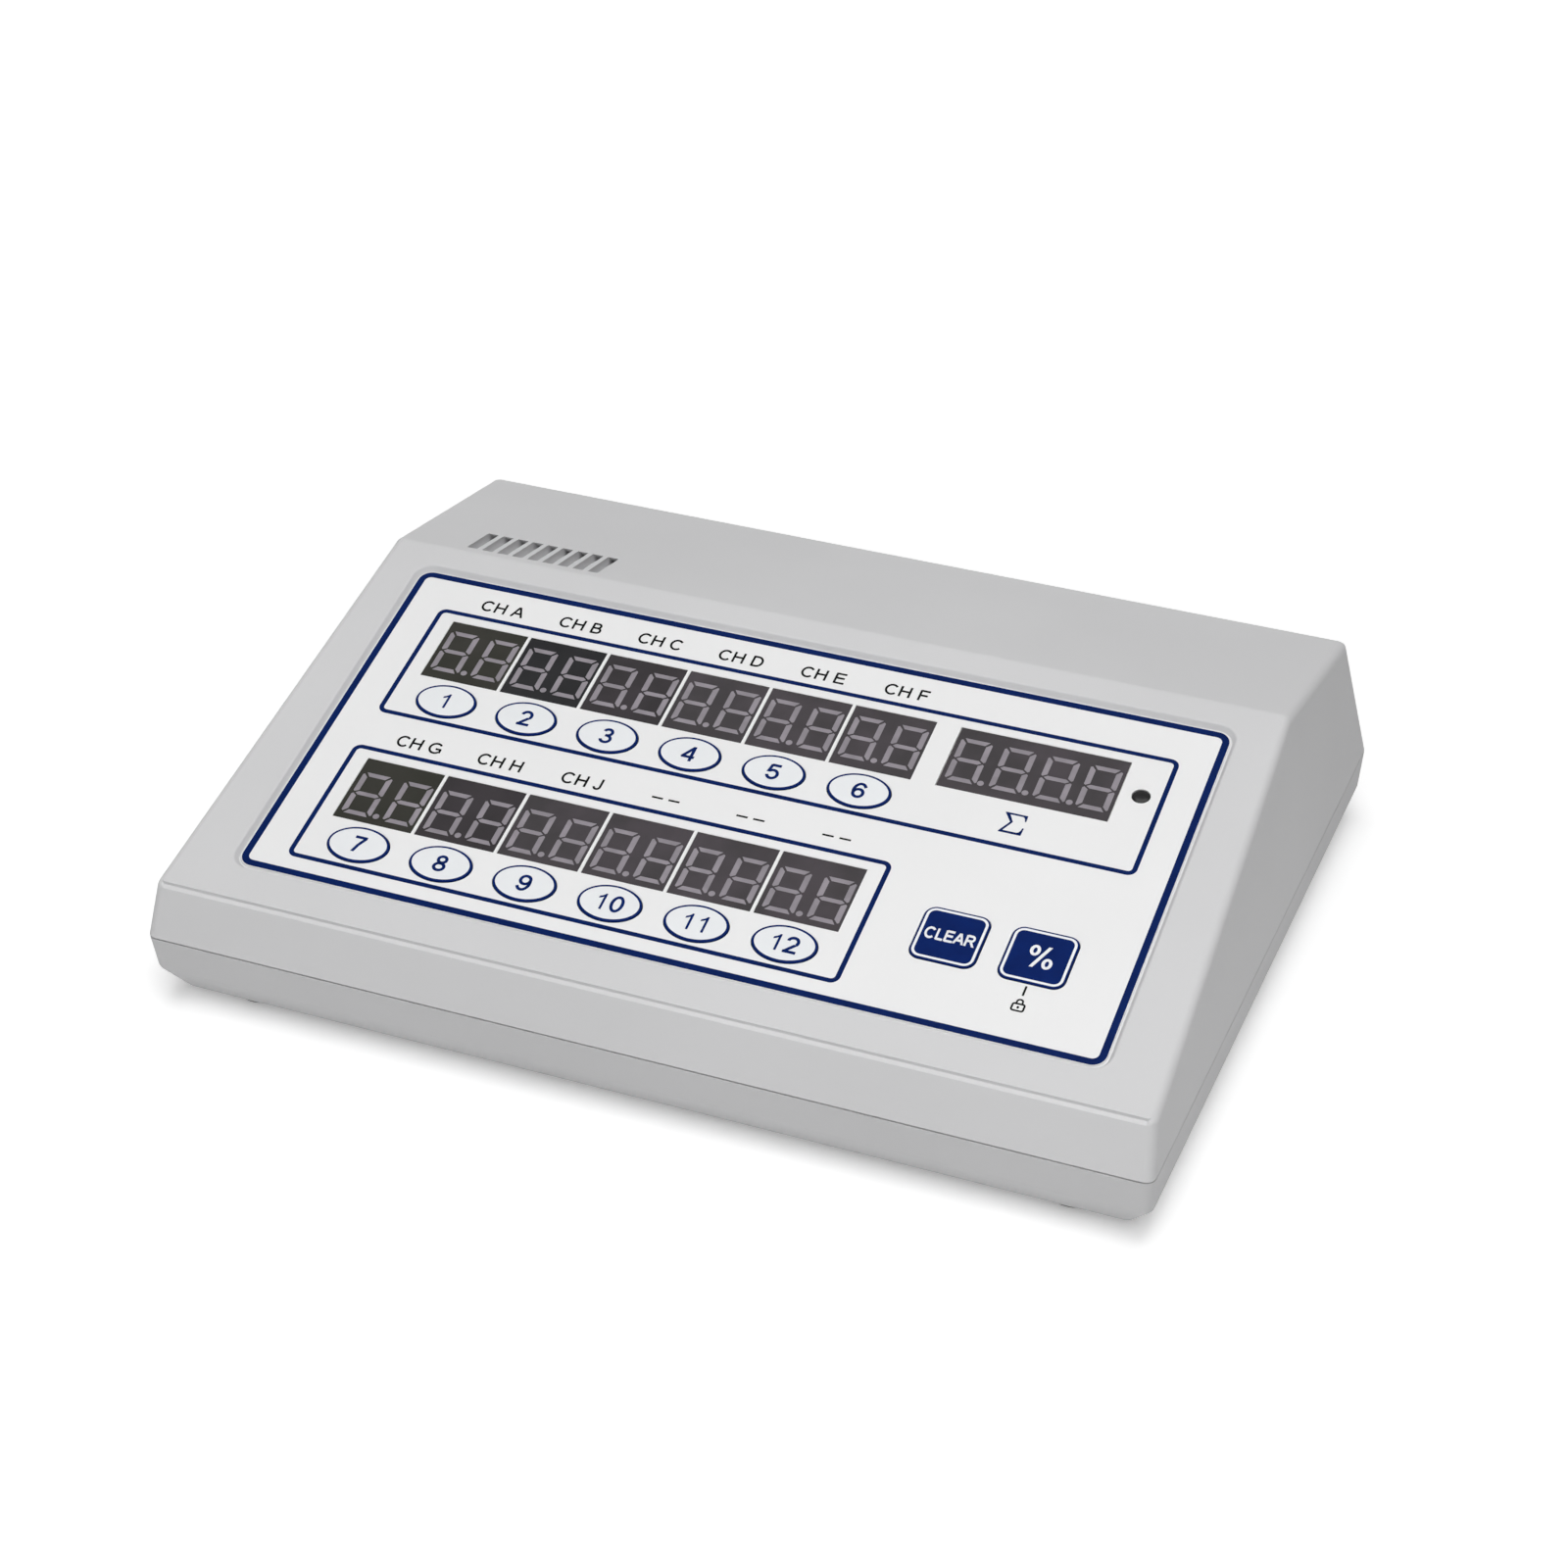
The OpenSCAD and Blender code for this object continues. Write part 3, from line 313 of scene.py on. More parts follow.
# %% [markdown]
# A board is glass cloth in epoxy under green solder mask. Its tracks show as paler raised strips, a
# tenth of an inch apart. A band pattern gives the strips, and a coarse noise breaks them off here and
# there, as a real layout does.

# %% Boards
TRACK_PITCH = 2.54
BANDS_PER_SCALE = 3.18
BOARD, tree, shader, place = new_finish("solder_mask_green", "board_green", {"IOR": 1.55})
tracks = add(
    tree, "TexWave",
    {"wave_type": "BANDS", "bands_direction": "X", "Scale": 1 / (TRACK_PITCH * MM) / BANDS_PER_SCALE},
    {"Vector": place},
)
strip = add(tree, "Math", {"operation": "GREATER_THAN", 1: 0.75}, {0: tracks.outputs["Fac"]})
kept = add(tree, "Math", {"operation": "GREATER_THAN", 1: 0.5}, {0: noise(tree, place, 9.0, 1.0)})
both = add(tree, "Math", {"operation": "MULTIPLY"}, {0: strip.outputs[0], 1: kept.outputs[0]})
mask = add(tree, "Mix", {"data_type": "RGBA", 6: linear("12502f"), 7: linear("1f6b40")},
           {0: both.outputs[0]})
tree.links.new(mask.outputs[2], shader.inputs["Base Color"])
raised = add(tree, "Bump", {"Distance": 0.035 * MM}, {"Height": both.outputs[0]})
tree.links.new(raised.outputs["Normal"], shader.inputs["Normal"])
shader.inputs["Roughness"].default_value = 0.32
print("finishes:", len(bpy.data.materials))

# %% [markdown]
# ## Finished pieces
#
# Every mesh ends the same way: it goes into metres, gets its materials, rides on its body and stands
# for the solids that it replaces. Weighted normals shade curved edges smooth, and flat faces stay flat.

# %% Piece helpers


def carry(bm, matrix):
    """Takes a whole bmesh through a matrix."""
    bmesh.ops.transform(bm, matrix=matrix, verts=bm.verts)


def shift(bm, vec, verts):
    """Moves vertices."""
    bmesh.ops.translate(bm, vec=vec, verts=verts)


def face_out(bm):
    """Turns all faces outward."""
    bmesh.ops.recalc_face_normals(bm, faces=bm.faces)


def as_mesh(bm, name):
    """Turns a bmesh into a mesh and frees it."""
    mesh = bpy.data.meshes.new(name)
    bm.to_mesh(mesh)
    bm.free()
    return mesh


def piece(name, bm, place, body, *finishes, replaces=()):
    """Turns a bmesh in mm into a piece at its place in metres, riding on a body."""
    carry(bm, place)
    obj = put(name, as_mesh(bm, name))
    for finish in finishes:
        obj.data.materials.append(finish)
    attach(obj, body)
    if replaces:
        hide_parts(*replaces)
    return obj


def soften(obj, angle=35):
    """Shades curved edges smooth and keeps flat faces flat."""
    obj.data.shade_smooth()
    obj.data.set_sharp_from_angle(angle=math.radians(angle))
    weigh = obj.modifiers.new("flat_faces_stay_flat", "WEIGHTED_NORMAL")
    weigh.keep_sharp = True
    return obj


def add_shell(bm, part, place=Matrix()):
    """Adds a separate closed form to a mesh, carried over from its own frame."""
    face_out(part)
    carry(part, place)
    mesh = as_mesh(part, "draft")
    bm.from_mesh(mesh)
    bpy.data.meshes.remove(mesh)


print("piece helpers ready")

# %% [markdown]
# Mouldings and sheets are mostly flat shapes drawn up. Primitives could be scaled by hand, but a plate
# or a disc from a short helper has its real size at once, and can also be the outline of a hole.

# %% Helpers for flat shapes and what is drawn from them


def round_off(bm, geom, width, segments=3, affect="EDGES"):
    """Rounds edges or corners off."""
    return bmesh.ops.bevel(bm, geom=geom, offset=width, segments=segments, profile=0.5, affect=affect,
                           material=-1)


def plate(bm, w, h, r, at=(0, 0, 0)):
    """A flat face with round corners."""
    verts = bmesh.ops.create_grid(bm, x_segments=1, y_segments=1, size=0.5)["verts"]
    bmesh.ops.scale(bm, vec=(w, h, 1), verts=verts)
    shift(bm, at, verts)
    if r > 0:
        verts = round_off(bm, verts, r, 8, "VERTICES")["verts"]
    return verts[0].link_faces[0]


def disc(bm, w, h, at=(0, 0, 0), segments=48):
    """A flat round or oval face."""
    made = bmesh.ops.create_circle(bm, cap_ends=True, radius=0.5, segments=segments)
    bmesh.ops.scale(bm, vec=(w, h, 1), verts=made["verts"])
    shift(bm, at, made["verts"])
    return made["verts"][0].link_faces[0]


def of_kind(made, kind):
    """What an operator made of one kind: vertices, edges or faces."""
    return [part for part in made["geom"] if isinstance(part, kind)]


def raise_up(bm, faces, height, along=(0, 0, 1)):
    """Extrudes flat faces. Returns the new top faces."""
    made = bmesh.ops.extrude_face_region(bm, geom=faces, use_keep_orig=True)
    shift(bm, Vector(along) * height, of_kind(made, BMVert))
    return of_kind(made, BMFace)


def rim(bm, face):
    """Takes a face away and leaves its edges as a loop."""
    edges = list(face.edges)
    bmesh.ops.delete(bm, geom=[face], context="FACES_ONLY")
    return edges


def fill(bm, loops, normal=(0, 0, 1)):
    """Fills between an outline and the holes in it."""
    edges = [e for loop in loops for e in loop]
    bmesh.ops.triangle_fill(bm, use_beauty=True, use_dissolve=False, normal=normal, edges=edges)


def sink(bm, loop, vec):
    """Pulls walls out of a loop of edges. Returns the new loop."""
    made = bmesh.ops.extrude_edge_only(bm, edges=loop)
    shift(bm, vec, of_kind(made, BMVert))
    return of_kind(made, BMEdge)


def inset(bm, face, width, depth=0):
    """Draws a face in from its edges, and down by a depth."""
    bmesh.ops.inset_individual(bm, faces=[face], thickness=width, depth=depth, use_even_offset=True)


def add_prism(bm, shape, sizes, height, place=Matrix()):
    """Adds a prism drawn up from a plate or a disc."""
    part = bmesh.new()
    raise_up(part, [shape(part, *sizes)], height)
    add_shell(bm, part, place)


print("shape helpers ready")

# %% [markdown]
# ## The upper half of the case
#
# The upper half is a wedge with a ridge, moulded open at the bottom. It could be a cube pushed about
# with loop cuts. Its side view is known corner by corner, so five vertices make that view, one
# extrusion makes the wedge, and each vertex is pushed by its height for the draft of the side walls.

# %% Outer form of the upper half


def half_width(z, t):
    """Half the case's width at a height over the joint, with the walls moved in by t."""
    return CASE_W / 2 - z * math.tan(SIDE_DRAFT) - t / math.cos(SIDE_DRAFT)


def inset_corner(i, t):
    """A corner of the side view, moved in by t from the two faces that meet there."""
    into = []
    for a, b in ((PROFILE[i - 1], PROFILE[i]), (PROFILE[i], PROFILE[i + 1])):
        along = (b - a).normalized()
        into.append(Vector((along.y, -along.x)))
    return PROFILE[i] + (into[0] + into[1]) * t / (1 + into[0].dot(into[1]))


def wedge(bm, t, low):
    """Adds the upper half's closed form, its walls moved in by t and its foot at the height low."""
    front = low * math.tan(FRONT_LEAN) + t / math.cos(FRONT_LEAN)
    back = CASE_D - low * math.tan(BACK_LEAN) - t / math.cos(BACK_LEAN)
    side = [Vector((front, low)), *(inset_corner(i, t) for i in (1, 2, 3)), Vector((back, low))]
    left = [bm.verts.new((0, FRONT_Y + p.x, SPLIT_Z + p.y)) for p in side]
    face = bmesh.ops.contextual_create(bm, geom=left)["faces"]
    right = of_kind(bmesh.ops.extrude_face_region(bm, geom=face), BMVert)
    for sign, verts in ((-1, left), (1, right)):
        for v in verts:
            v.co.x = sign * half_width(v.co.z - SPLIT_Z, t)


JOINT_GAP = 0.3
bm = bmesh.new()
wedge(bm, 0.0, JOINT_GAP / 2)
face_out(bm)
print("wedge:", len(bm.verts), "corners,", round(bm.calc_volume() / 1000), "cm3")

# %% [markdown]
# The edges are rounded next. The upright corners are rounder than the ridges, and one bevel operator
# has one width. So the widths go into the mesh as edge weights, and a Bevel modifier reads them and
# makes clean patches where three widths meet. Its result becomes the mesh.

# %% Rounded edges
WIDEST, SIDE_ROUND = 1.8, 1.4
FRONT_ROUND, REAR_ROUND, TOP_ROUND = 0.85, 0.8, 0.42
weights = bm.edges.layers.float.new("bevel_weight_edge")
for edge in bm.edges:
    a, b = (v.co for v in edge.verts)
    low, high = sorted((a.z - SPLIT_Z, b.z - SPLIT_Z))
    if high < 1:
        width = 0.0
    elif abs(a.x - b.x) > CASE_W / 2:
        width = FRONT_ROUND if high < RIDGE_Z + 1 else (REAR_ROUND if high < REAR_Z + 1 else TOP_ROUND)
    else:
        width = WIDEST if low < 1 else SIDE_ROUND
    edge[weights] = width / WIDEST


def baked(bm, kind, settings):
    """Applies one modifier to a bmesh and returns the result as a new one."""
    mesh = as_mesh(bm, "draft")
    draft = put("draft", mesh)
    modifier = draft.modifiers.new("draft", kind)
    for key, value in settings.items():
        setattr(modifier, key, value)
    done = bmesh.new()
    done.from_object(draft, bpy.context.evaluated_depsgraph_get())
    bpy.data.objects.remove(draft)
    bpy.data.meshes.remove(mesh)
    return done


bm = baked(bm, "BEVEL", {"limit_method": "WEIGHT", "width": WIDEST, "segments": 6, "profile": 0.5})
print("rounded wedge:", len(bm.verts), "corners")

# %% [markdown]
# At the front ridge the real case has a small step, which draws a dark line and then a light one. The
# bevel has left seven long rows of edges there, so nothing new is needed: each row is laid at its place
# in the step's section, given as distances up the slope and out of it.

# %% Step along the front ridge
STEP_ROWS = [
    (0.53, 0), (0.45, -0.52), (0.36, -0.58), (0, -0.6), (-0.28, -0.62), (-0.39, -0.66), (-0.458, -0.72),
]


def near_ridge(edge):
    """Whether an edge is one of the long ones of the front ridge's rounding."""
    a, b = (v.co for v in edge.verts)
    return abs(a.x - b.x) > CASE_W / 2 and math.hypot(a.y - RIDGE.y, a.z - RIDGE.z) < 2.5


rows = sorted((e for e in bm.edges if near_ridge(e)), key=lambda e: -e.verts[0].co.z)
for row, (up, out) in zip(rows, STEP_ROWS):
    for vert in row.verts:
        vert.co.yz = (RIDGE + UP_SLOPE * up + OUT_OF_SLOPE * out).yz
print("rows in the step:", len(rows))

# %% [markdown]
# Keys and displays sit in six columns on an electronic grid, 15.24 mm apart. Each could be placed by
# hand. The case, the film and the keys need the same places, so those are listed once.

# %% Places on the panel
FILM_W, FILM_H = 150.2, 74.2
PITCH = 15.24
CHANNEL_X = [-56.9 + PITCH * i for i in range(6)]
ROW_V = (19.3, -15.75)
KEY_DROP = 11.95
ROWS_X, TOTAL_X, INDICATOR_X = -18.8, 45.9, 64.4
OVALS = [(x, v - KEY_DROP) for v in ROW_V for x in CHANNEL_X]
OVAL_W, OVAL_H = 11.0, 7.6
SQUARE_X, SQUARE_V = (44.2, 59.0), -18.8
SQUARE_W, SQUARE_R = 11.0, 1.9
LENS_HOLE = 3.2


def key_openings(bm, gap, z):
    """Flat faces where keys and lens come through, wider than the keys by a gap."""
    faces = [disc(bm, OVAL_W + gap, OVAL_H + gap, (x, v, z)) for x, v in OVALS]
    for x in SQUARE_X:
        faces.append(plate(bm, SQUARE_W + gap, SQUARE_W + gap, SQUARE_R + gap / 2, (x, SQUARE_V, z)))
    faces.append(disc(bm, LENS_HOLE, LENS_HOLE, (INDICATOR_X, ROW_V[0], z), 24))
    return faces


print("keys:", len(OVALS) + len(SQUARE_X))

# %% [markdown]
# A wall needs an inside. Solidify could give it one, but the rounding is tighter than the wall is
# thick, so the inner corners would fold over. Instead a smaller, unrounded wedge goes inside, and each
# opening joins the two: its rim is drawn on the outer face, pulled through the wall and met by the
# inner face. The result is one closed skin.

# %% Openings in the front, the rear and the back
WALL, LIP_H = 2.5, 1.5
RECESS_D, RECESS_SLANT, RECESS_R = 1.0, 0.7, 3.5
DISPLAY_HOLE_H, ROW_HOLE_W, TOTAL_HOLE_W = 14.5, 91.7, 30.5
VENT_X = [-69.2 + 3.0 * i for i in range(9)]
VENT_W, VENT_H, VENT_V, VENT_SLANT = 2.05, 9.2, 6.6, 4.0
INLET_X, INLET_HOLE = 26.0, 8.4
SWITCH_X, SWITCH_HOLE_W, SWITCH_HOLE_H = -26.0, 9.0, 13.8


def turn_to(bm, old, new):
    """Carries a bmesh from one face's frame to another's."""
    carry(bm, new.inverted() @ old)


def flat_face(bm, z):
    """The large flat face that lies at the height z of the frame in use."""
    level = [f for f in bm.faces if abs(f.normal.z) > 0.9999 and abs(f.calc_center_median().z - z) < 0.01]
    return max(level, key=lambda f: f.calc_area())


def cut_through(bm, shapes, slant=0.0):
    """Opens the wall under the frame in use along flat shapes that lie on its outer face."""
    outer = rim(bm, flat_face(bm, 0.0))
    rims = [rim(bm, shape) for shape in shapes]
    fill(bm, [outer, *rims])
    rims = [sink(bm, loop, (0, slant, -WALL)) for loop in rims]
    fill(bm, [rim(bm, flat_face(bm, -WALL)), *rims])


inner_low = JOINT_GAP / 2 + LIP_H
wedge(bm, WALL, inner_low)
bm.normal_update()

turn_to(bm, WORLD, PANEL)
slope_rim = rim(bm, flat_face(bm, 0.0))
recess = plate(bm, FILM_W + 2.1, FILM_H + 2.3, RECESS_R)
inset(bm, recess, RECESS_SLANT, -RECESS_D)
recess_floor = rim(bm, recess)
recess_rim = [e for e in bm.edges if len(e.link_faces) == 1 and all(abs(v.co.z) < 0.001 for v in e.verts)
              and e not in slope_rim]
fill(bm, [slope_rim, recess_rim])

holes = [plate(bm, ROW_HOLE_W, DISPLAY_HOLE_H, 0, (ROWS_X, v, -RECESS_D)) for v in ROW_V]
holes.append(plate(bm, TOTAL_HOLE_W, DISPLAY_HOLE_H, 0, (TOTAL_X, ROW_V[0], -RECESS_D)))
holes += key_openings(bm, 0.9, -RECESS_D)
hole_rims = [rim(bm, face) for face in holes]
fill(bm, [recess_floor, *hole_rims])
through = [sink(bm, loop, (0, 0, RECESS_D - WALL)) for loop in hole_rims]
fill(bm, [rim(bm, flat_face(bm, -WALL)), *through])
round_off(bm, recess_rim, 0.25)

turn_to(bm, PANEL, REAR)
cut_through(bm, [plate(bm, VENT_W, VENT_H, 0, (x, VENT_V, 0)) for x in VENT_X], VENT_SLANT)
turn_to(bm, REAR, BACK)
cut_through(bm, [disc(bm, INLET_HOLE, INLET_HOLE, (INLET_X, 0, 0)),
                 plate(bm, SWITCH_HOLE_W, SWITCH_HOLE_H, 0, (SWITCH_X, 0, 0))])
print("openings: front", len(hole_rims), "rear", len(VENT_X), "back 2")

# %% [markdown]
# At the foot the wall steps back inside for the lower half's lip, which keeps the halves in line. The
# posts and standoffs are tubes, each spun from its half section. A blade under each vent keeps drips
# off the boards, and leaves a gap at its far end for the air.

# %% Foot, posts and standoffs of the upper half
turn_to(bm, BACK, WORLD)
LEDGE = 1.4
foot_z = SPLIT_Z + JOINT_GAP / 2
outer_foot = rim(bm, flat_face(bm, foot_z))
inner_foot = rim(bm, flat_face(bm, SPLIT_Z + inner_low))
step_front = LEDGE / math.cos(FRONT_LEAN)
step_back = CASE_D - LEDGE / math.cos(BACK_LEAN)
middle = (0, FRONT_Y + (step_front + step_back) / 2, foot_z)
step = rim(bm, plate(bm, 2 * half_width(0, LEDGE), step_back - step_front, 0, middle))
fill(bm, [outer_foot, step])
fill(bm, [inner_foot, sink(bm, step, (0, 0, LIP_H))])
face_out(bm)
print("upper half: wall of", round(bm.calc_volume() / 1000, 1), "cm3")


def turned(section, at, steps=40, closed=False):
    """A turned form from a half section: a closed ring, or a line with its ends on the axis."""
    bm = bmesh.new()
    verts = [bm.verts.new((r, 0, z)) for r, z in section]
    edges = [bm.edges.new(pair) for pair in zip(verts, verts[1:])]
    if closed:
        edges.append(bm.edges.new((verts[-1], verts[0])))
    bmesh.ops.spin(bm, geom=verts + edges, axis=(0, 0, 1), cent=(0, 0, 0), steps=steps,
                   angle=math.tau, use_merge=True)
    bmesh.ops.remove_doubles(bm, verts=bm.verts, dist=0.0005)
    face_out(bm)
    shift(bm, at, bm.verts)
    return bm


def tube(x, y, low, high, outer, bore):
    """A tube between two heights."""
    section = [(bore / 2, low), (outer / 2, low), (outer / 2, high), (bore / 2, high)]
    return turned(section, (x, y, 0), 32, closed=True)


SCREW_SPOTS = [(sx * 76.5, sy * 47.3) for sx in (-1, 1) for sy in (-1, 1)]
POST_D = 8.0
STANDOFF_D, STANDOFF_BORE = 6.0, 2.7
BLADE_W, BLADE_H, BLADE_T = 2.4, 10.4, 0.5
for x, y in SCREW_SPOTS:
    add_shell(bm, tube(x, y, SPLIT_Z + 0.1, 28.2 if y < 0 else 43.8, POST_D, 3.1))
for x in (-66.5, 66.5):
    for v in (-32.5, -1.5, 29.5):
        add_shell(bm, tube(x, v, -8.0, 0.2 - WALL, STANDOFF_D, STANDOFF_BORE), WORLD.inverted() @ PANEL)
for x in VENT_X:
    add_prism(bm, plate, (BLADE_W, BLADE_H, 0, (x, 7.2, -2.2)), BLADE_T, WORLD.inverted() @ REAR)
upper_shell = soften(piece("upper_shell", bm, WORLD, "case", UPPER_ABS, replaces=("upper_case",)), 30)
print("upper_shell:", len(upper_shell.data.polygons), "faces")

# %% [markdown]
# ## The lower half of the case
#
# The lower half is a shallow tray with a chamfered foot, a short band and a lip. A box with insets could
# give it. It is quicker to see as a stack of rounded rectangles, outside and inside, each bridged to
# the next. Two loops at one height are filled instead, as a bridge could twist there.

# %% Lower half
# Width, depth, height, shift in y and corner radius of each loop, from the sole up and back down inside
LOWER_LOOPS = [
    (166.4, 135.8, 2.0, 0.0, 1.8), (173.6, 143.0, 7.0, 0.0, 1.9), (174.0, 146.6, 13.85, 0.0, 2.0),
    (171.0, 142.8, 13.85, -0.4, 1.4), (171.0, 142.8, 15.5, -0.4, 1.4), (168.6, 140.4, 15.5, -0.4, 0.6),
    (168.6, 140.4, 11.0, -0.4, 0.6), (167.4, 138.0, 7.0, 0.0, 0.6), (163.08, 133.68, 4.5, 0.0, 0.6),
]
FOOT_SPOTS = [(sx * 72.0, sy * 60.0) for sx in (-1, 1) for sy in (-1, 1)]
SOLE_Z, FLOOR_Z, WELL_TOP, POST_TOP = 2.0, 4.5, 9.0, 14.0
POCKET_D, POCKET_H, WELL_D, BORE_D = 12.2, 1.0, 6.2, 3.3

bm = bmesh.new()
loops = [rim(bm, plate(bm, w, d, r, (0, y, z))) for w, d, z, y, r in LOWER_LOOPS]
for i in range(len(loops) - 1):
    if LOWER_LOOPS[i][2] == LOWER_LOOPS[i + 1][2]:
        fill(bm, loops[i:i + 2])
    else:
        bmesh.ops.bridge_loops(bm, edges=loops[i] + loops[i + 1])
foot_edges, joint_edges = loops[0] + loops[1], loops[2]

pockets = [rim(bm, disc(bm, POCKET_D, POCKET_D, (x, y, SOLE_Z))) for x, y in FOOT_SPOTS]
wells = [rim(bm, disc(bm, WELL_D, WELL_D, (x, y, SOLE_Z), 32)) for x, y in SCREW_SPOTS]
fill(bm, [loops[0], *pockets, *wells], (0, 0, -1))
for loop in pockets:
    bmesh.ops.edgeloop_fill(bm, edges=sink(bm, loop, (0, 0, POCKET_H)))
well_tops = [sink(bm, loop, (0, 0, WELL_TOP - SOLE_Z)) for loop in wells]
posts = [rim(bm, disc(bm, POST_D, POST_D, (x, y, FLOOR_Z), 32)) for x, y in SCREW_SPOTS]
fill(bm, [loops[-1], *posts])
for (x, y), well, post in zip(SCREW_SPOTS, well_tops, posts):
    bore = rim(bm, disc(bm, BORE_D, BORE_D, (x, y, WELL_TOP), 32))
    bmesh.ops.bridge_loops(bm, edges=well + bore)
    crown = sink(bm, post, (0, 0, POST_TOP - FLOOR_Z))
    bmesh.ops.bridge_loops(bm, edges=crown + sink(bm, bore, (0, 0, POST_TOP - WELL_TOP)))
face_out(bm)
print("lower half: wall of", round(bm.calc_volume() / 1000, 1), "cm3")
round_off(bm, foot_edges, 0.5)
round_off(bm, joint_edges, 0.12)
lower_shell = soften(piece("lower_shell", bm, WORLD, "case", LOWER_ABS, replaces=("lower_case",)), 30)
print("lower_shell:", len(lower_shell.data.polygons), "faces")

# %% [markdown]
# ## The front film
#
# One sheet of film covers the whole recess. A real one is die-cut, and so is this: the outline and the
# windows are drawn flat, the sheet is filled between them, and one extrusion gives its thickness. The
# narrow bars between the windows stay, since they are the white seen between the displays.

# %% Film
FILM_LOW, FILM_TOP = -1.0, -0.7
WINDOW_W, WINDOW_H, TOTAL_W = 14.65, 14.04, 29.9
MODULES = [(x, v) for v in ROW_V for x in CHANNEL_X]

bm = bmesh.new()
cuts = [plate(bm, FILM_W, FILM_H, 2.4, (0, 0, FILM_LOW))]
cuts += [plate(bm, WINDOW_W, WINDOW_H, 0, (x, v, FILM_LOW)) for x, v in MODULES]
cuts.append(plate(bm, TOTAL_W, WINDOW_H, 0, (TOTAL_X, ROW_V[0], FILM_LOW)))
cuts += key_openings(bm, 0.3, FILM_LOW)
fill(bm, [rim(bm, face) for face in cuts])
raise_up(bm, bm.faces[:], FILM_TOP - FILM_LOW)
face_out(bm)
print("film:", round(bm.calc_volume() / (FILM_TOP - FILM_LOW)), "mm2 of sheet")
soften(piece("printed_film", bm, PANEL, "case", FILM, replaces=("front_film",)))

# %% [markdown]
# ## Printed lines and letters
#
# Each printed line is a band between two round-cornered outlines. A text object could set the letters,
# but the built-in font is far from the even type of such panels. So the few signs needed are drawn as a
# sign painter would, from bars and bows of one width. The real columns name blood cells. Here they
# carry plain letters.

# %% Bands and flat shapes
INK_LOW, INK_T = -0.71, 0.05


def band(bm, w, h, r, line, at):
    """A printed line round a rectangle, given by its middle line."""
    face = plate(bm, w + line, h + line, r + line / 2, at)
    inset(bm, face, line)
    rim(bm, face)


def closed_line(bm, points):
    """A ring of edges through some points."""
    corners = [bm.verts.new(point) for point in points]
    return [bm.edges.new((corners[i - 1], corners[i])) for i in range(len(corners))]


def flat_shape(outline, at=(0, 0, 0), scale=(1, 1), thick=INK_T):
    """A low prism on an outline."""
    part = bmesh.new()
    fill(part, [closed_line(part, [(x * scale[0], y * scale[1], 0) for x, y in outline])])
    raise_up(part, part.faces[:], thick)
    shift(part, at, part.verts)
    return part


# %% [markdown]
# A sign is a list of bars and bows in units of its height, so one table serves every size. A font file
# would do too, but the lesson needs no file of its own.

# %% Letters and figures


def ring(x, y, half_w, half_h):
    """A closed ring as two bows."""
    return [(x, y, half_w, half_h, 0, 180), (x, y, half_w, half_h, 180, 360)]


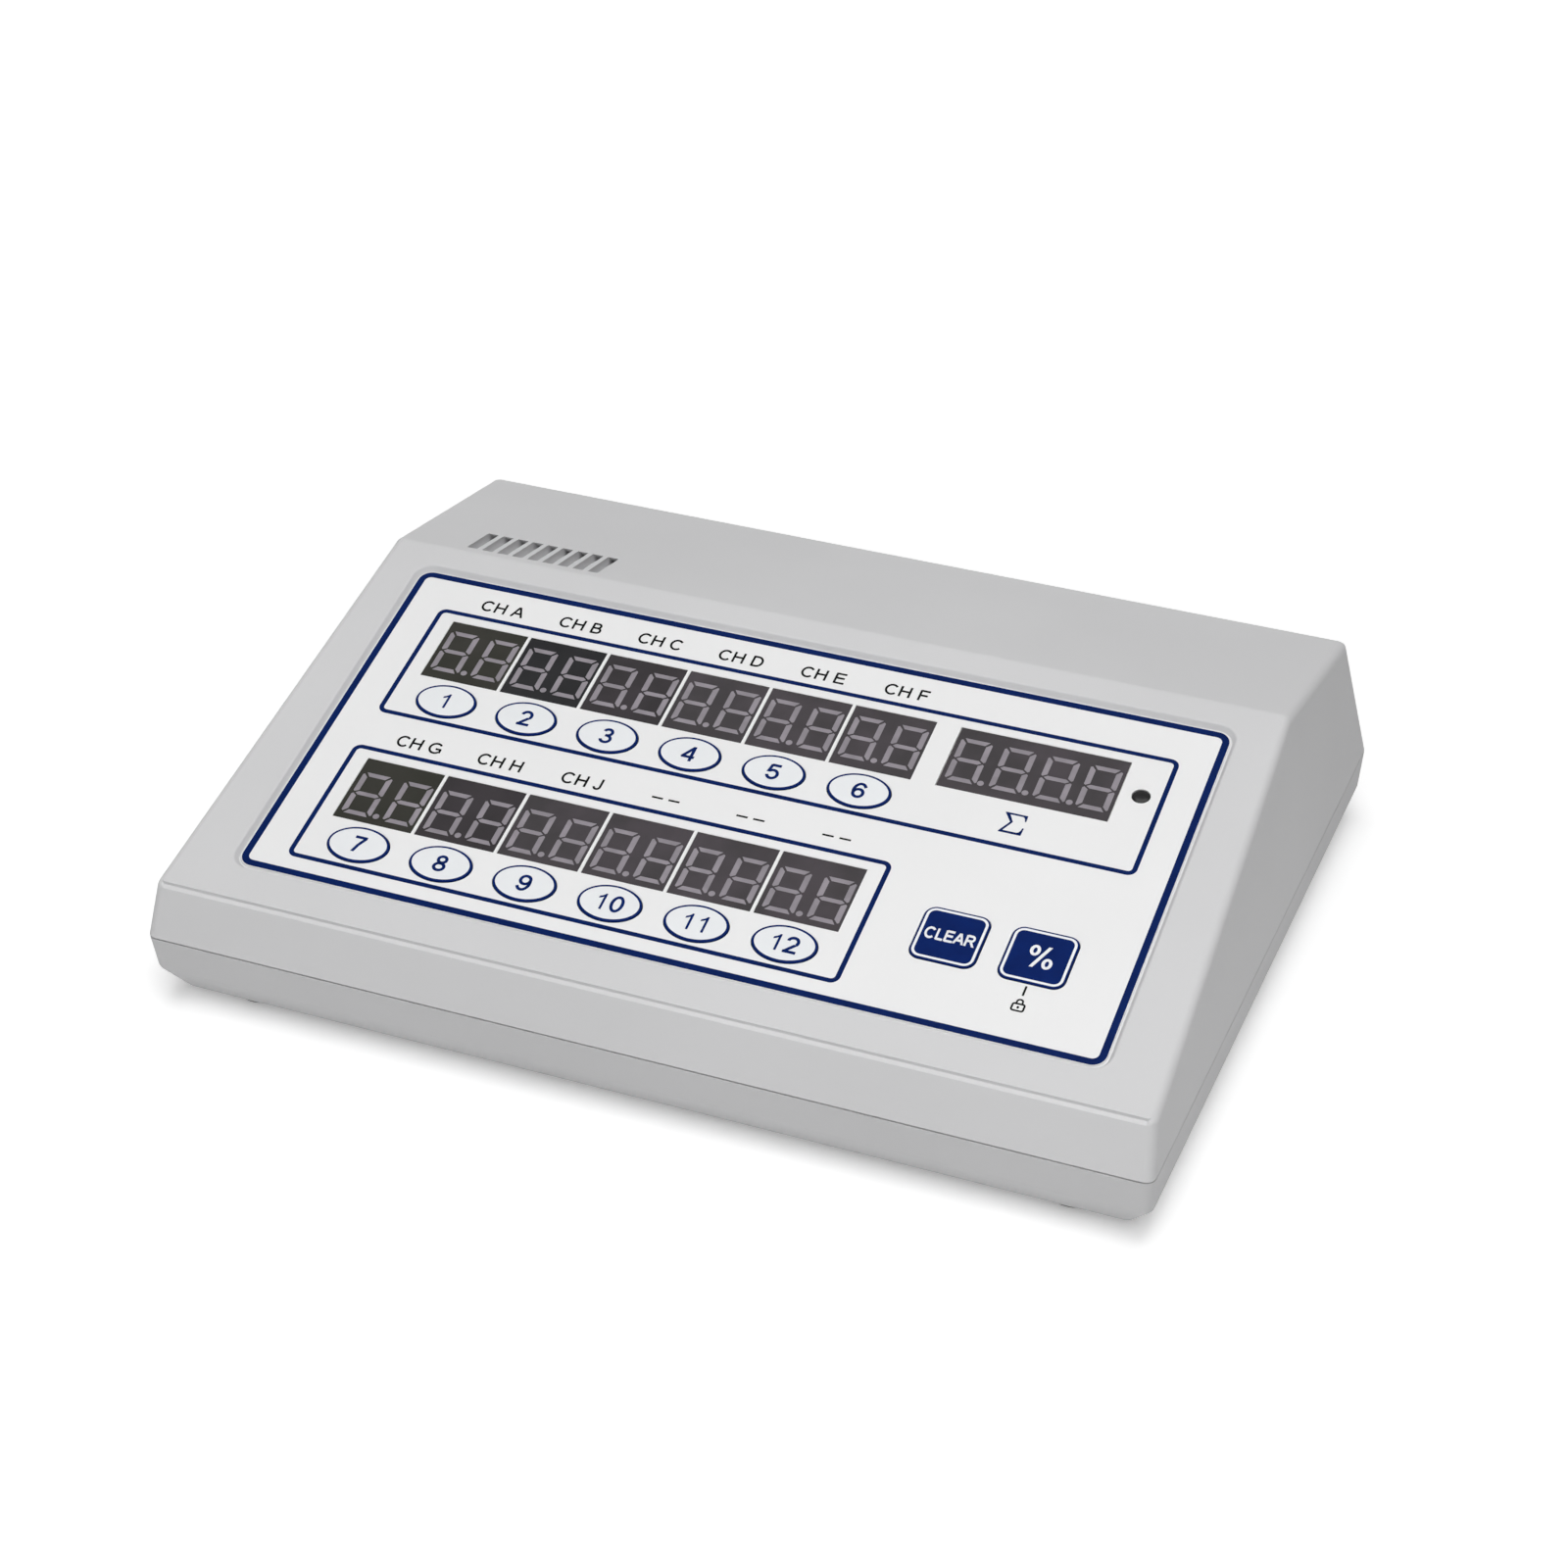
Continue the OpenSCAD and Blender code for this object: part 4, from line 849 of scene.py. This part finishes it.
# Each sign's advance, and its bars (x, y, x, y) and bows (x, y, half width, half height, from, to)
STEM = (0.17, 0, 0.17, 1)
GLYPHS = {
    "0": (0.777, ring(0.388, 0.5, 0.263, 0.443)),
    "1": (0.777, []),
    "2": (0.777, [(0.375, 0.69, 0.253, 0.253, 172, -38), (0.125, 0.06, 0.565, 0.545),
                  (0.045, 0.06, 0.705, 0.06)]),
    "3": (0.777, [(0.365, 0.735, 0.215, 0.208, 165, -90), (0.37, 0.285, 0.258, 0.228, 90, -168),
                  (0.27, 0.52, 0.375, 0.52)]),
    "4": (0.777, [(0.53, 0, 0.53, 1), (0.08, 0.28, 0.525, 0.96), (0.02, 0.28, 0.7, 0.28)]),
    "5": (0.777, [(0.185, 0.94, 0.66, 0.94), (0.115, 0.46, 0.205, 0.98),
                  (0.37, 0.335, 0.26, 0.275, 142, -166)]),
    "6": (0.777, ring(0.395, 0.315, 0.252, 0.256) + [(0.42, 0.5, 0.302, 0.44, 32, 205)]),
    "7": (0.777, [(0.065, 0.94, 0.705, 0.94), (0.27, 0, 0.4, 0.45), (0.4, 0.45, 0.63, 0.9)]),
    "8": (0.777, ring(0.388, 0.745, 0.213, 0.2) + ring(0.388, 0.28, 0.258, 0.222)),
    "9": (0.777, ring(0.382, 0.685, 0.252, 0.256) + [(0.357, 0.5, 0.302, 0.44, 212, 385)]),
    "A": (0.932, [(0.07, 0, 0.455, 1), (0.862, 0, 0.477, 1), (0.2, 0.34, 0.73, 0.34)]),
    "B": (0.932, [STEM, (0.17, 0.94, 0.5, 0.94), (0.17, 0.53, 0.54, 0.53), (0.17, 0.06, 0.54, 0.06),
                  (0.5, 0.735, 0.2, 0.205, 90, -90), (0.54, 0.295, 0.25, 0.235, 90, -90)]),
    "C": (1.008, [(0.53, 0.5, 0.405, 0.443, 42, 318)]),
    "D": (1.008, [STEM, (0.17, 0.94, 0.47, 0.94), (0.17, 0.06, 0.47, 0.06),
                  (0.47, 0.5, 0.385, 0.44, 90, -90)]),
    "E": (0.932, [STEM, (0.17, 0.94, 0.85, 0.94), (0.17, 0.53, 0.8, 0.53), (0.17, 0.06, 0.87, 0.06)]),
    "F": (0.853, [STEM, (0.17, 0.94, 0.8, 0.94), (0.17, 0.5, 0.72, 0.5)]),
    "G": (1.087, [(0.55, 0.5, 0.43, 0.443, 42, 318), (0.57, 0.44, 0.98, 0.44), (0.93, 0.13, 0.93, 0.45)]),
    "H": (1.008, [STEM, (0.84, 0, 0.84, 1), (0.17, 0.53, 0.84, 0.53)]),
    "J": (0.698, [(0.52, 0.27, 0.52, 1), (0.3, 0.28, 0.22, 0.225, 0, -172)]),
    "L": (0.777, [STEM, (0.17, 0.06, 0.75, 0.06)]),
    "R": (1.008, [STEM, (0.17, 0.94, 0.6, 0.94), (0.17, 0.5, 0.6, 0.5),
                  (0.6, 0.72, 0.22, 0.22, 90, -90), (0.9, 0, 0.56, 0.48)]),
    " ": (0.388, []),
}
FIGURE_ONE = [
    (0.505, 0), (0.505, 1), (0.42, 1), (0.375, 0.925), (0.305, 0.86), (0.155, 0.775),
    (0.155, 0.66), (0.285, 0.72), (0.385, 0.79), (0.385, 0),
]


def stroke(figures, weight):
    """The outline of one bar or bow of a letter, in units of the letter's height."""
    half = weight / 2
    if len(figures) == 4:
        x0, y0, x1, y1 = figures
        if y0 == y1:
            return [(x0, y0 - half), (x1, y0 - half), (x1, y0 + half), (x0, y0 + half)]
        lean = half * math.hypot(x1 - x0, y1 - y0) / abs(y1 - y0)
        return [(x0 - lean, y0), (x0 + lean, y0), (x1 + lean, y1), (x1 - lean, y1)]
    x, y, rx, ry, start, end = figures
    steps = max(6, round(abs(end - start) / 12))
    turns = [math.radians(start + (end - start) * i / steps) for i in range(steps + 1)]
    outer = [(x + (rx + half) * math.cos(t), y + (ry + half) * math.sin(t)) for t in turns]
    inner = [(x + (rx - half) * math.cos(t), y + (ry - half) * math.sin(t)) for t in reversed(turns)]
    return outer + inner


def lettering(word, tall, weight, squeeze=1.0):
    """A word as closed flat strokes in mm, centred by its letters' advances."""
    bm = bmesh.new()
    x = -sum(GLYPHS[c][0] for c in word) / 2
    for c in word:
        advance, parts = GLYPHS[c]
        outlines = [FIGURE_ONE] if c == "1" else [stroke(part, weight) for part in parts]
        for outline in outlines:
            moved = [(x + px, py - 0.5) for px, py in outline]
            add_shell(bm, flat_shape(moved, scale=(tall * squeeze, tall)))
        x += advance
    return bm


print("letters and figures:", len(GLYPHS))

# %% [markdown]
# The frames round the two rows and the film are navy, like the sum sign. The sign comes from one
# outline, as its strokes differ in width.

# %% Frames and sum sign
BORDER_LINE, FRAME_LINE, FRAME_R = 1.22, 0.84, 1.15
bm = bmesh.new()
band(bm, FILM_W - 1.34, FILM_H - 1.41, 1.75, BORDER_LINE, (0, 0, INK_LOW))
band(bm, 135.5, 26.0, FRAME_R, FRAME_LINE, (0.32, 15.4, INK_LOW))
band(bm, 97.25, 26.07, FRAME_R, FRAME_LINE, (ROWS_X, -19.63, INK_LOW))
raise_up(bm, bm.faces[:], INK_T)
SIGMA = [
    (0.0, 1.0), (0.965, 1.0), (0.98, 0.7), (0.92, 0.71), (0.89, 0.81), (0.84, 0.89), (0.76, 0.92),
    (0.22, 0.92), (0.45, 0.575), (0.16, 0.1), (0.78, 0.1), (0.86, 0.14), (0.91, 0.24), (0.935, 0.37),
    (1.0, 0.37), (0.985, 0.0), (0.0, 0.0), (0.0, 0.03), (0.335, 0.56), (0.0, 0.97),
]
add_shell(bm, flat_shape(SIGMA, (44.21, 5.3, INK_LOW), (3.96, 4.5)))
face_out(bm)
piece("printed_frames", bm, PANEL, "case", NAVY)
print("frames and sum sign printed")

# %% [markdown]
# The column letters stand where a worker would note what each column counts. Three columns are free,
# and keep a pair of dashes. The padlock under the percent key marks that a long press locks it.

# %% Column letters, dashes and padlock
LETTERS = "ABCDEFGHJ"
LETTER_H, LETTER_WEIGHT = 2.5, 0.16
LABEL_V = (31.57, -3.43)
bm = bmesh.new()
for i, letter in enumerate(LETTERS):
    spot = Matrix.Translation((CHANNEL_X[i % 6], LABEL_V[i // 6], INK_LOW))
    add_shell(bm, lettering("CH " + letter, LETTER_H, LETTER_WEIGHT), spot)
for x in CHANNEL_X[3:]:
    for side in (-1.5, 1.5):
        spot = Matrix.Translation((x + side, LABEL_V[1] - 0.07, INK_LOW))
        add_prism(bm, plate, (2.0, 0.36, 0), INK_T, spot)

LOCK_X, LOCK_V = 58.92, -29.35
spot = Matrix.Translation((LOCK_X, LOCK_V, INK_LOW))
add_prism(bm, plate, (0.34, 2.0, 0, (0, 3.45, 0)), INK_T, spot)
add_prism(bm, disc, (0.42, 0.55, (0, 0, 0), 16), INK_T, spot)
lock, shackle = bmesh.new(), bmesh.new()
band(lock, 1.95, 1.4, 0.3, 0.32, (0, 0, 0))
band(shackle, 0.95, 1.5, 0.45, 0.3, (0, 0.85, 0))
bmesh.ops.bisect_plane(shackle, geom=shackle.verts[:] + shackle.edges[:] + shackle.faces[:],
                       plane_co=(0, 0.75, 0), plane_no=(0, -1, 0), clear_outer=True)
for part in (lock, shackle):
    raise_up(part, part.faces[:], INK_T)
    add_shell(bm, part, spot)
piece("printed_letters", bm, PANEL, "case", BLACK_INK)
print("letters printed:", len(LETTERS))

# %% [markdown]
# ## Keys
#
# The oval keys are thin caps on plungers, with a navy rim and a number. A cap is a disc drawn up with its
# top edge bevelled, and an inset parts the rim from the pale middle, so that the line follows the edge
# exactly. The number is a thin layer of ink that moves with the cap.

# %% Oval keys
KEY_TOP, CAP_LOW, PLUNGER_LOW = -0.45, -1.05, -5.25
KEY_EDGE = 0.06
PLUNGER_D = 3.4
FIGURE_H, FIGURE_WEIGHT = 3.4, 0.162


def key_cap(shape, sizes, rims):
    """A key's cap on its plunger: a flat shape drawn up, a soft top edge and inset print lines."""
    bm = bmesh.new()
    top = raise_up(bm, [shape(bm, *sizes)], KEY_TOP - CAP_LOW)[0]
    face_out(bm)
    round_off(bm, list(top.edges), KEY_EDGE)
    top = max((f for f in bm.faces if f.normal.z > 0.99), key=lambda f: f.calc_area())
    for width, index in rims:
        inset(bm, top, width)
        top.material_index = index
    shift(bm, (0, 0, CAP_LOW), bm.verts)
    sizes = (PLUNGER_D, PLUNGER_D, (0, 0, PLUNGER_LOW), 24)
    add_prism(bm, disc, sizes, CAP_LOW - PLUNGER_LOW + 0.05)
    return bm


def make_key(bm, node, kind, at, mark, nudge, index, *finishes):
    """Prints a mark on a cap in one of its finishes, and makes the two a piece."""
    add_shell(bm, mark, Matrix.Translation((*nudge, KEY_TOP - 0.01)))
    for face in bm.faces:
        if face.calc_center_median().z > KEY_TOP + 0.001:
            face.material_index = index
    shift(bm, (*at, 0), bm.verts)
    soften(piece(kind + node, bm, PANEL, node, *finishes, replaces=(node,)))


for i, spot in enumerate(OVALS):
    cap = key_cap(disc, (OVAL_W, OVAL_H, (0, 0, 0), 64), [(0.34, 1)])
    number = lettering(str(i + 1), FIGURE_H, FIGURE_WEIGHT)
    make_key(cap, f"key_{i + 1:02d}", "oval_", spot, number, (0, 0), 0, KEY_NAVY, OVAL)
print("oval keys:", len(OVALS))

# %% [markdown]
# The square keys are navy with a white line inside a thin navy rim. The left one clears the counts, and
# its word and the percent sign are white.

# %% Square keys


def percent_sign():
    """A percent sign: two oval rings and a slanted bar."""
    bm = bmesh.new()
    for x, y in ((-1.3, 1.15), (1.3, -1.15)):
        oval = bmesh.new()
        fill(oval, [rim(oval, disc(oval, 1.72, 2.24, (x, y, 0), 32)),
                    rim(oval, disc(oval, 0.62, 1.2, (x, y, 0), 32))])
        raise_up(oval, oval.faces[:], INK_T)
        add_shell(bm, oval)
    add_shell(bm, flat_shape([(-1.35, -2.3), (-0.75, -2.3), (1.25, 2.3), (0.65, 2.3)]))
    return bm


for x, node, mark, nudge in (
    (SQUARE_X[0], "key_reset", lettering("CLEAR", 2.3, 0.2, 0.8), (0, 0)),
    (SQUARE_X[1], "key_percent", percent_sign(), (0.35, 0.05)),
):
    cap = key_cap(plate, (SQUARE_W, SQUARE_W, SQUARE_R), [(0.24, 1), (0.45, 0)])
    make_key(cap, node, "square_", (x, SQUARE_V), mark, nudge, 1, KEY_NAVY, WHITE_INK)
print("square keys:", len(SQUARE_X))

# %% [markdown]
# ## Displays
#
# The face of a display could be a picture, but each segment is a real window with an edge, so each is
# its own low prism. A segment is a few corners in millimetres from its figure's lower left, and mirrors
# give the others.

# %% Segments
FIG_W, FIG_H = 5.65, 10.0
MIDDLE_BAR = [(0.63, 5.0), (1.2, 5.42), (4.45, 5.42), (5.02, 5.0), (4.45, 4.58), (1.2, 4.58)]
TOP_BAR = [(0.63, 9.95), (5.02, 9.95), (4.33, 9.06), (1.32, 9.06)]
UPRIGHT = [(0.05, 9.38), (0.33, 9.57), (1.04, 8.82), (1.04, 5.7), (0.33, 5.2), (0.05, 5.42)]
SEGMENT_LOW, SEGMENT_T = -0.85, 0.065
POINT_D, POINT_UP = 1.15, 0.67


def flipped(outline, flip_x, flip_y):
    """A segment's outline mirrored within its figure."""
    return [(FIG_W - x if flip_x else x, FIG_H - y if flip_y else y) for x, y in outline]


SEGMENTS = [MIDDLE_BAR, TOP_BAR, flipped(TOP_BAR, False, True)]
SEGMENTS += [flipped(UPRIGHT, a, b) for a in (False, True) for b in (False, True)]

SHELL_LOW, SHELL_TOP, SHELL_H = -8.0, -1.2, 14.0


def display_module(x, v, wide, figures_x, points_x, foot, tall):
    """A display's shell with its dark face, its figures and its points."""
    bm = bmesh.new()
    face = raise_up(bm, [plate(bm, wide, SHELL_H, 0, (x, v, SHELL_LOW))], SHELL_TOP - SHELL_LOW)[0]
    for rise, narrowing in ((0.18, 0.4), (0.22, 0.0)):
        made = bmesh.ops.extrude_face_region(bm, geom=[face])
        bmesh.ops.delete(bm, geom=[face], context="FACES_ONLY")
        verts = of_kind(made, BMVert)
        face = of_kind(made, BMFace)[0]
        shift(bm, (0, 0, rise), verts)
        bmesh.ops.scale(bm, vec=(1 - narrowing / wide, 1, 1), verts=verts,
                        space=Matrix.Translation((-x, -v, 0)))
    face.material_index = 1
    face_out(bm)
    windows = bmesh.new()
    for left in figures_x:
        for outline in SEGMENTS:
            at = (left, v + foot, SEGMENT_LOW)
            add_shell(windows, flat_shape(outline, at, (1, tall / FIG_H), SEGMENT_T))
    for spot in points_x:
        at = (spot, v + foot + POINT_UP, SEGMENT_LOW)
        add_prism(windows, disc, (POINT_D, POINT_D, at, 20), SEGMENT_T)
    for face in windows.faces:
        face.material_index = 2
    add_shell(bm, windows)
    return bm


print("segments of a figure:", len(SEGMENTS))

# %% [markdown]
# Displays come from several batches, so the paint of each is chosen from the four tones. The wide one
# on the right shows the total.

# %% Display modules
PAINT_OF = [0, 1, 2, 3, 3, 3, 0, 2, 3, 3, 3, 3]
TOTAL_FIGURES, TOTAL_POINTS = (31.77, 39.47, 47.07, 54.47), (38.07, 45.82, 53.47)
for i, (x, v) in enumerate(MODULES):
    name = f"{i + 1:02d}"
    left = x - WINDOW_W / 2 + 0.75
    foot, tall = (-5.15, 10.0) if i < 6 else (-5.73, 9.7)
    bm = display_module(x, v, 15.0, (left, left + 7.75), (left + 6.5,), foot, tall)
    piece("display_module_" + name, bm, PANEL, "case", REFLECTOR, FACE_PAINTS[PAINT_OF[i]], EPOXY,
          replaces=("display_" + name,))
bm = display_module(TOTAL_X, ROW_V[0], 30.0, TOTAL_FIGURES, TOTAL_POINTS, -5.15, 10.0)
piece("display_module_total", bm, PANEL, "case", REFLECTOR, FACE_PAINTS[3], EPOXY,
      replaces=("display_total",))
print("display modules:", len(MODULES) + 1)

# %% [markdown]
# ## Small turned parts
#
# The indicator's lens and the feet are spun from half sections too. The lens has a shallow dome, and the
# flange that holds it under the film. A foot has a soft edge and a hollow sole.

# %% Lens and feet
LENS_SECTION = [(0, -8.0), (1.9, -8.0), (1.9, -7.0), (1.5, -7.0), (1.5, -0.95), (1.44, -0.82),
                (1.2, -0.74), (0.7, -0.7), (0, -0.69)]
bm = turned(LENS_SECTION, (INDICATOR_X, ROW_V[0], 0))
soften(piece("indicator_dome", bm, PANEL, "case", LENS, replaces=("indicator_lens",)))

FOOT_SECTION = [(0, 3.0), (5.7, 3.0), (6.0, 2.75), (6.0, 1.0), (5.85, 0.45), (5.5, 0.1), (5.0, 0.0),
                (3.4, 0.0), (3.1, 0.12), (2.7, 0.5), (0, 0.5)]
bm = bmesh.new()
for x, y in FOOT_SPOTS:
    add_shell(bm, turned(FOOT_SECTION, (x, y, 0)))
soften(piece("soft_feet", bm, WORLD, "case", RUBBER, replaces=("rubber_feet",)))
print("feet:", len(FOOT_SPOTS))

# %% [markdown]
# ## The back of the case
#
# The photograph behind this lesson doesn't show the back, so its parts are ordinary ones: a small rocker
# switch in a bezel, and a round inlet for a plug-in supply. The bezel is drawn up from plates. The
# rocker is a side view drawn across, with a soft dip between its two finger faces.

# %% Switch bezel and body
PIVOT_N = -0.4
BEZEL_W, BEZEL_H, BEZEL_T = 10.4, 15.0, 1.6
NECK_W, NECK_H, NECK_L = 8.6, 13.4, 11.0
WELL_W, WELL_H, WELL_N = 7.8, 12.3, PIVOT_N - 4.0
bm = bmesh.new()
bezel_low = rim(bm, plate(bm, BEZEL_W, BEZEL_H, 1.0))
bezel_top = sink(bm, bezel_low, (0, 0, BEZEL_T))
neck = rim(bm, plate(bm, NECK_W, NECK_H, 0))
fill(bm, [bezel_low, neck])
bmesh.ops.edgeloop_fill(bm, edges=sink(bm, neck, (0, 0, -NECK_L)))
well = rim(bm, plate(bm, WELL_W, WELL_H, 0.4, (0, 0, BEZEL_T)))
fill(bm, [bezel_top, well])
bmesh.ops.edgeloop_fill(bm, edges=sink(bm, well, (0, 0, WELL_N - BEZEL_T)))
face_out(bm)
round_off(bm, bezel_top + well, 0.35)
shift(bm, (SWITCH_X, 0, 0), bm.verts)
soften(piece("switch_bezel", bm, BACK, "case", SWITCH_BLACK, replaces=("switch_housing",)), 40)

# %% [markdown]
# The rocker is drawn at rest in its own frame, with the pivot as its origin, and the frame is then
# tilted. That keeps both finger faces alike, which drawing it tilted would not.

# %% Rocker
TILT = math.radians(11)
ROCKER_W = 7.2
ROCKER = [(-5.1, -1.0), (-5.4, 4.4), (0.0, 2.6), (5.4, 4.4), (5.1, -1.0)]
ROCKER_PLACE = BACK @ Matrix.Translation((SWITCH_X, 0, PIVOT_N)) @ Matrix.Rotation(TILT, 4, "X")

bm = bmesh.new()
fill(bm, [closed_line(bm, [(-ROCKER_W / 2, y, z) for y, z in ROCKER])], (1, 0, 0))
raise_up(bm, bm.faces[:], ROCKER_W, (1, 0, 0))
bmesh.ops.dissolve_limit(bm, angle_limit=0.01, verts=bm.verts, edges=bm.edges)
face_out(bm)
round_off(bm, [e for e in bm.edges if all(abs(v.co.y) < 0.01 for v in e.verts)], 2.2, 8)
sharp = [e for e in bm.edges if e.calc_face_angle(0) > 0.6 and all(v.co.z > 0 for v in e.verts)]
round_off(bm, sharp, 0.3)
add_prism(bm, disc, (2.0, 2.0, (0, 0, -4.2), 24), 8.4, Matrix.Rotation(math.pi / 2, 4, "Y"))
soften(piece("rocker_cap", bm, ROCKER_PLACE, "rocker", SWITCH_BLACK, replaces=("switch_rocker",)), 40)

# %% [markdown]
# The rocker carries the usual marks for on and off, a bar and a ring, in thin white ink. They ride on
# the rocker, so they tip with it.

# %% Marks on the rocker
MARK_V = 3.6
FACE_LEAN = math.atan(1.8 / 5.4)


def rocker_face(side):
    """The place of a mark on the rocker's upper or lower face."""
    spot = Matrix.Translation((0, side * MARK_V, 2.6 + MARK_V * math.tan(FACE_LEAN) - 0.01))
    return spot @ Matrix.Rotation(side * FACE_LEAN, 4, "X")


bm = bmesh.new()
part = bmesh.new()
band(part, 1.6, 1.6, 0.78, 0.4, (0, 0, 0))
raise_up(part, part.faces[:], INK_T)
add_shell(bm, part, rocker_face(-1))
add_prism(bm, plate, (0.45, 2.0, 0), INK_T, rocker_face(1))
piece("rocker_marks", bm, ROCKER_PLACE, "rocker", WHITE_INK)
print("rocker and its marks ready")

# %% [markdown]
# The inlet is a turned barrel on a square block, with a pin on its axis. Spinning one half section
# gives the barrel, its soft mouth and its bore at once.

# %% Inlet barrel and block
BARREL = [(0, -9.0), (2.85, -9.0), (2.85, -0.4), (3.1, -0.08), (3.3, 0.0), (3.8, 0.0), (4.0, -0.2),
          (4.0, -2.7), (4.0, -9.6), (0, -9.6)]
bm = turned(BARREL, (INLET_X, 0, 0), 48)
block = bmesh.new()
BLOCK_W, BLOCK_R, BLOCK_HOLE, BLOCK_DEPTH = 11.0, 0.5, 7.9, 9.9
at = (INLET_X, 0, -2.6)
outline = plate(block, BLOCK_W, BLOCK_W, BLOCK_R, at)
fill(block, [rim(block, outline), rim(block, disc(block, BLOCK_HOLE, BLOCK_HOLE, at))])
raise_up(block, block.faces[:], -BLOCK_DEPTH)
add_shell(bm, block)
soften(piece("inlet_barrel", bm, BACK, "case", NYLON, replaces=("inlet_jack",)), 40)

PIN = [(0, -9.0), (1.05, -9.0), (1.05, -1.5), (0.9, -1.15), (0.55, -1.0), (0, -1.0)]
bm = turned(PIN, (INLET_X, 0, 0), 24)
soften(piece("inlet_pin", bm, BACK, "case", CONTACT, replaces=("inlet_pin_contact",)), 40)
print("inlet ready")

# %% [markdown]
# ## Inner parts
#
# The boards, chips, screws and cables keep the construction model's shape. Each of their materials is
# named after its slot, so one finish per slot is enough, and a loop puts it on.

# %% Finishes of the construction model's own solids
FINISH_OF = {finish["slot"]: finish for finish in (
    UPPER_ABS, LOWER_ABS, FILM, OVAL, KEY_NAVY, LENS, FACE_PAINTS[2], NYLON, SWITCH_BLACK, RUBBER,
    EPOXY_PACKAGE, CAN_METAL, SLEEVE, RIBBON_BASE, CONTACT, STEEL, SINK, BOARD,
)}
dressed = 0
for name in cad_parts:
    for slot in bpy.data.objects[name].material_slots:
        slot.material = FINISH_OF[slot.material.name.split(".")[0]]
        dressed += 1
print("construction solids with a finish:", dressed)

# %% [markdown]
# ## Light, floor and background
#
# The object stands on a white sweep among large soft boxes, which are area lamps here. One hangs high
# above, a near one at the upper front brightens the slope, and one low on the left fills the front. A
# written colour renders about as written.

# %% Lamps
AIM = Vector((0.0, 0.0, 0.02))


def soft_box(name, spot, size, power):
    """A large square area lamp at a spot in metres, turned to the object."""
    lamp = bpy.data.lights.new(name, "AREA")
    lamp.shape = "SQUARE"
    lamp.size = size
    lamp.energy = power
    turn = (AIM - Vector(spot)).to_track_quat("-Z", "Y")
    put(name, lamp).matrix_world = Matrix.Translation(spot) @ turn.to_matrix().to_4x4()


soft_box("top_box", (0.0, 0.0, 1.5), 1.0, 10.2)
soft_box("near_box", (0.22, -0.5, 0.8), 0.7, 4.9)
soft_box("left_box", (-1.0, -1.3, 0.6), 1.0, 2.8)
print("lamps:", len(bpy.data.lights))

# %% [markdown]
# The floor is white paper. A brighter lamp would burn out the case, so the paper has a little light of
# its own, which only the camera and shiny things see, and more of it with distance. The far floor is
# then plain white, and the soft shadow stays on the near paper.

# %% Floor and world
FLOOR_GLOW = 0.3


def seen_directly(tree):
    """One for rays from the camera or off a shiny or clear surface, nought for the rest."""
    paths = add(tree, "LightPath", {}, {}).outputs
    seen = paths["Is Camera Ray"]
    for kind in ("Is Glossy Ray", "Is Transmission Ray"):
        seen = add(tree, "Math", {"operation": "MAXIMUM"}, {0: seen, 1: paths[kind]}).outputs[0]
    return seen


floor_finish, tree, shader, place = new_finish("matt_white_paper", "film_white", {})
shader.inputs["Roughness"].default_value = 0.9
seen = seen_directly(tree)
paper = add(tree, "Mix", {"data_type": "RGBA", 6: linear("f4f4f4"), 7: linear("fbfbfb")}, {0: seen})
tree.links.new(paper.outputs[2], shader.inputs["Base Color"])
away = add(tree, "VectorMath", {"operation": "LENGTH"}, {0: place})
lift = add(tree, "MapRange", {"From Min": 0.15, "From Max": 0.9, "To Min": FLOOR_GLOW, "To Max": 1.0},
           {"Value": away.outputs["Value"]})
glow = add(tree, "Math", {"operation": "MULTIPLY"}, {0: seen, 1: lift.outputs["Result"]})
shader.inputs["Emission Color"].default_value = linear("ffffff")
tree.links.new(glow.outputs[0], shader.inputs["Emission Strength"])

bm = bmesh.new()
plate(bm, 8000.0, 8000.0, 0)
carry(bm, WORLD)
floor = put("floor", as_mesh(bm, "floor"))
floor.data.materials.append(floor_finish)

world = bpy.data.worlds.new("studio")
bpy.context.scene.world = world
world.use_nodes = True
sky = world.node_tree.nodes["Background"]
sky.inputs["Color"].default_value = linear("ffffff")
world.node_tree.links.new(seen_directly(world.node_tree), sky.inputs["Strength"])
bpy.context.scene.view_settings.view_transform = "Standard"
print("floor and world ready")
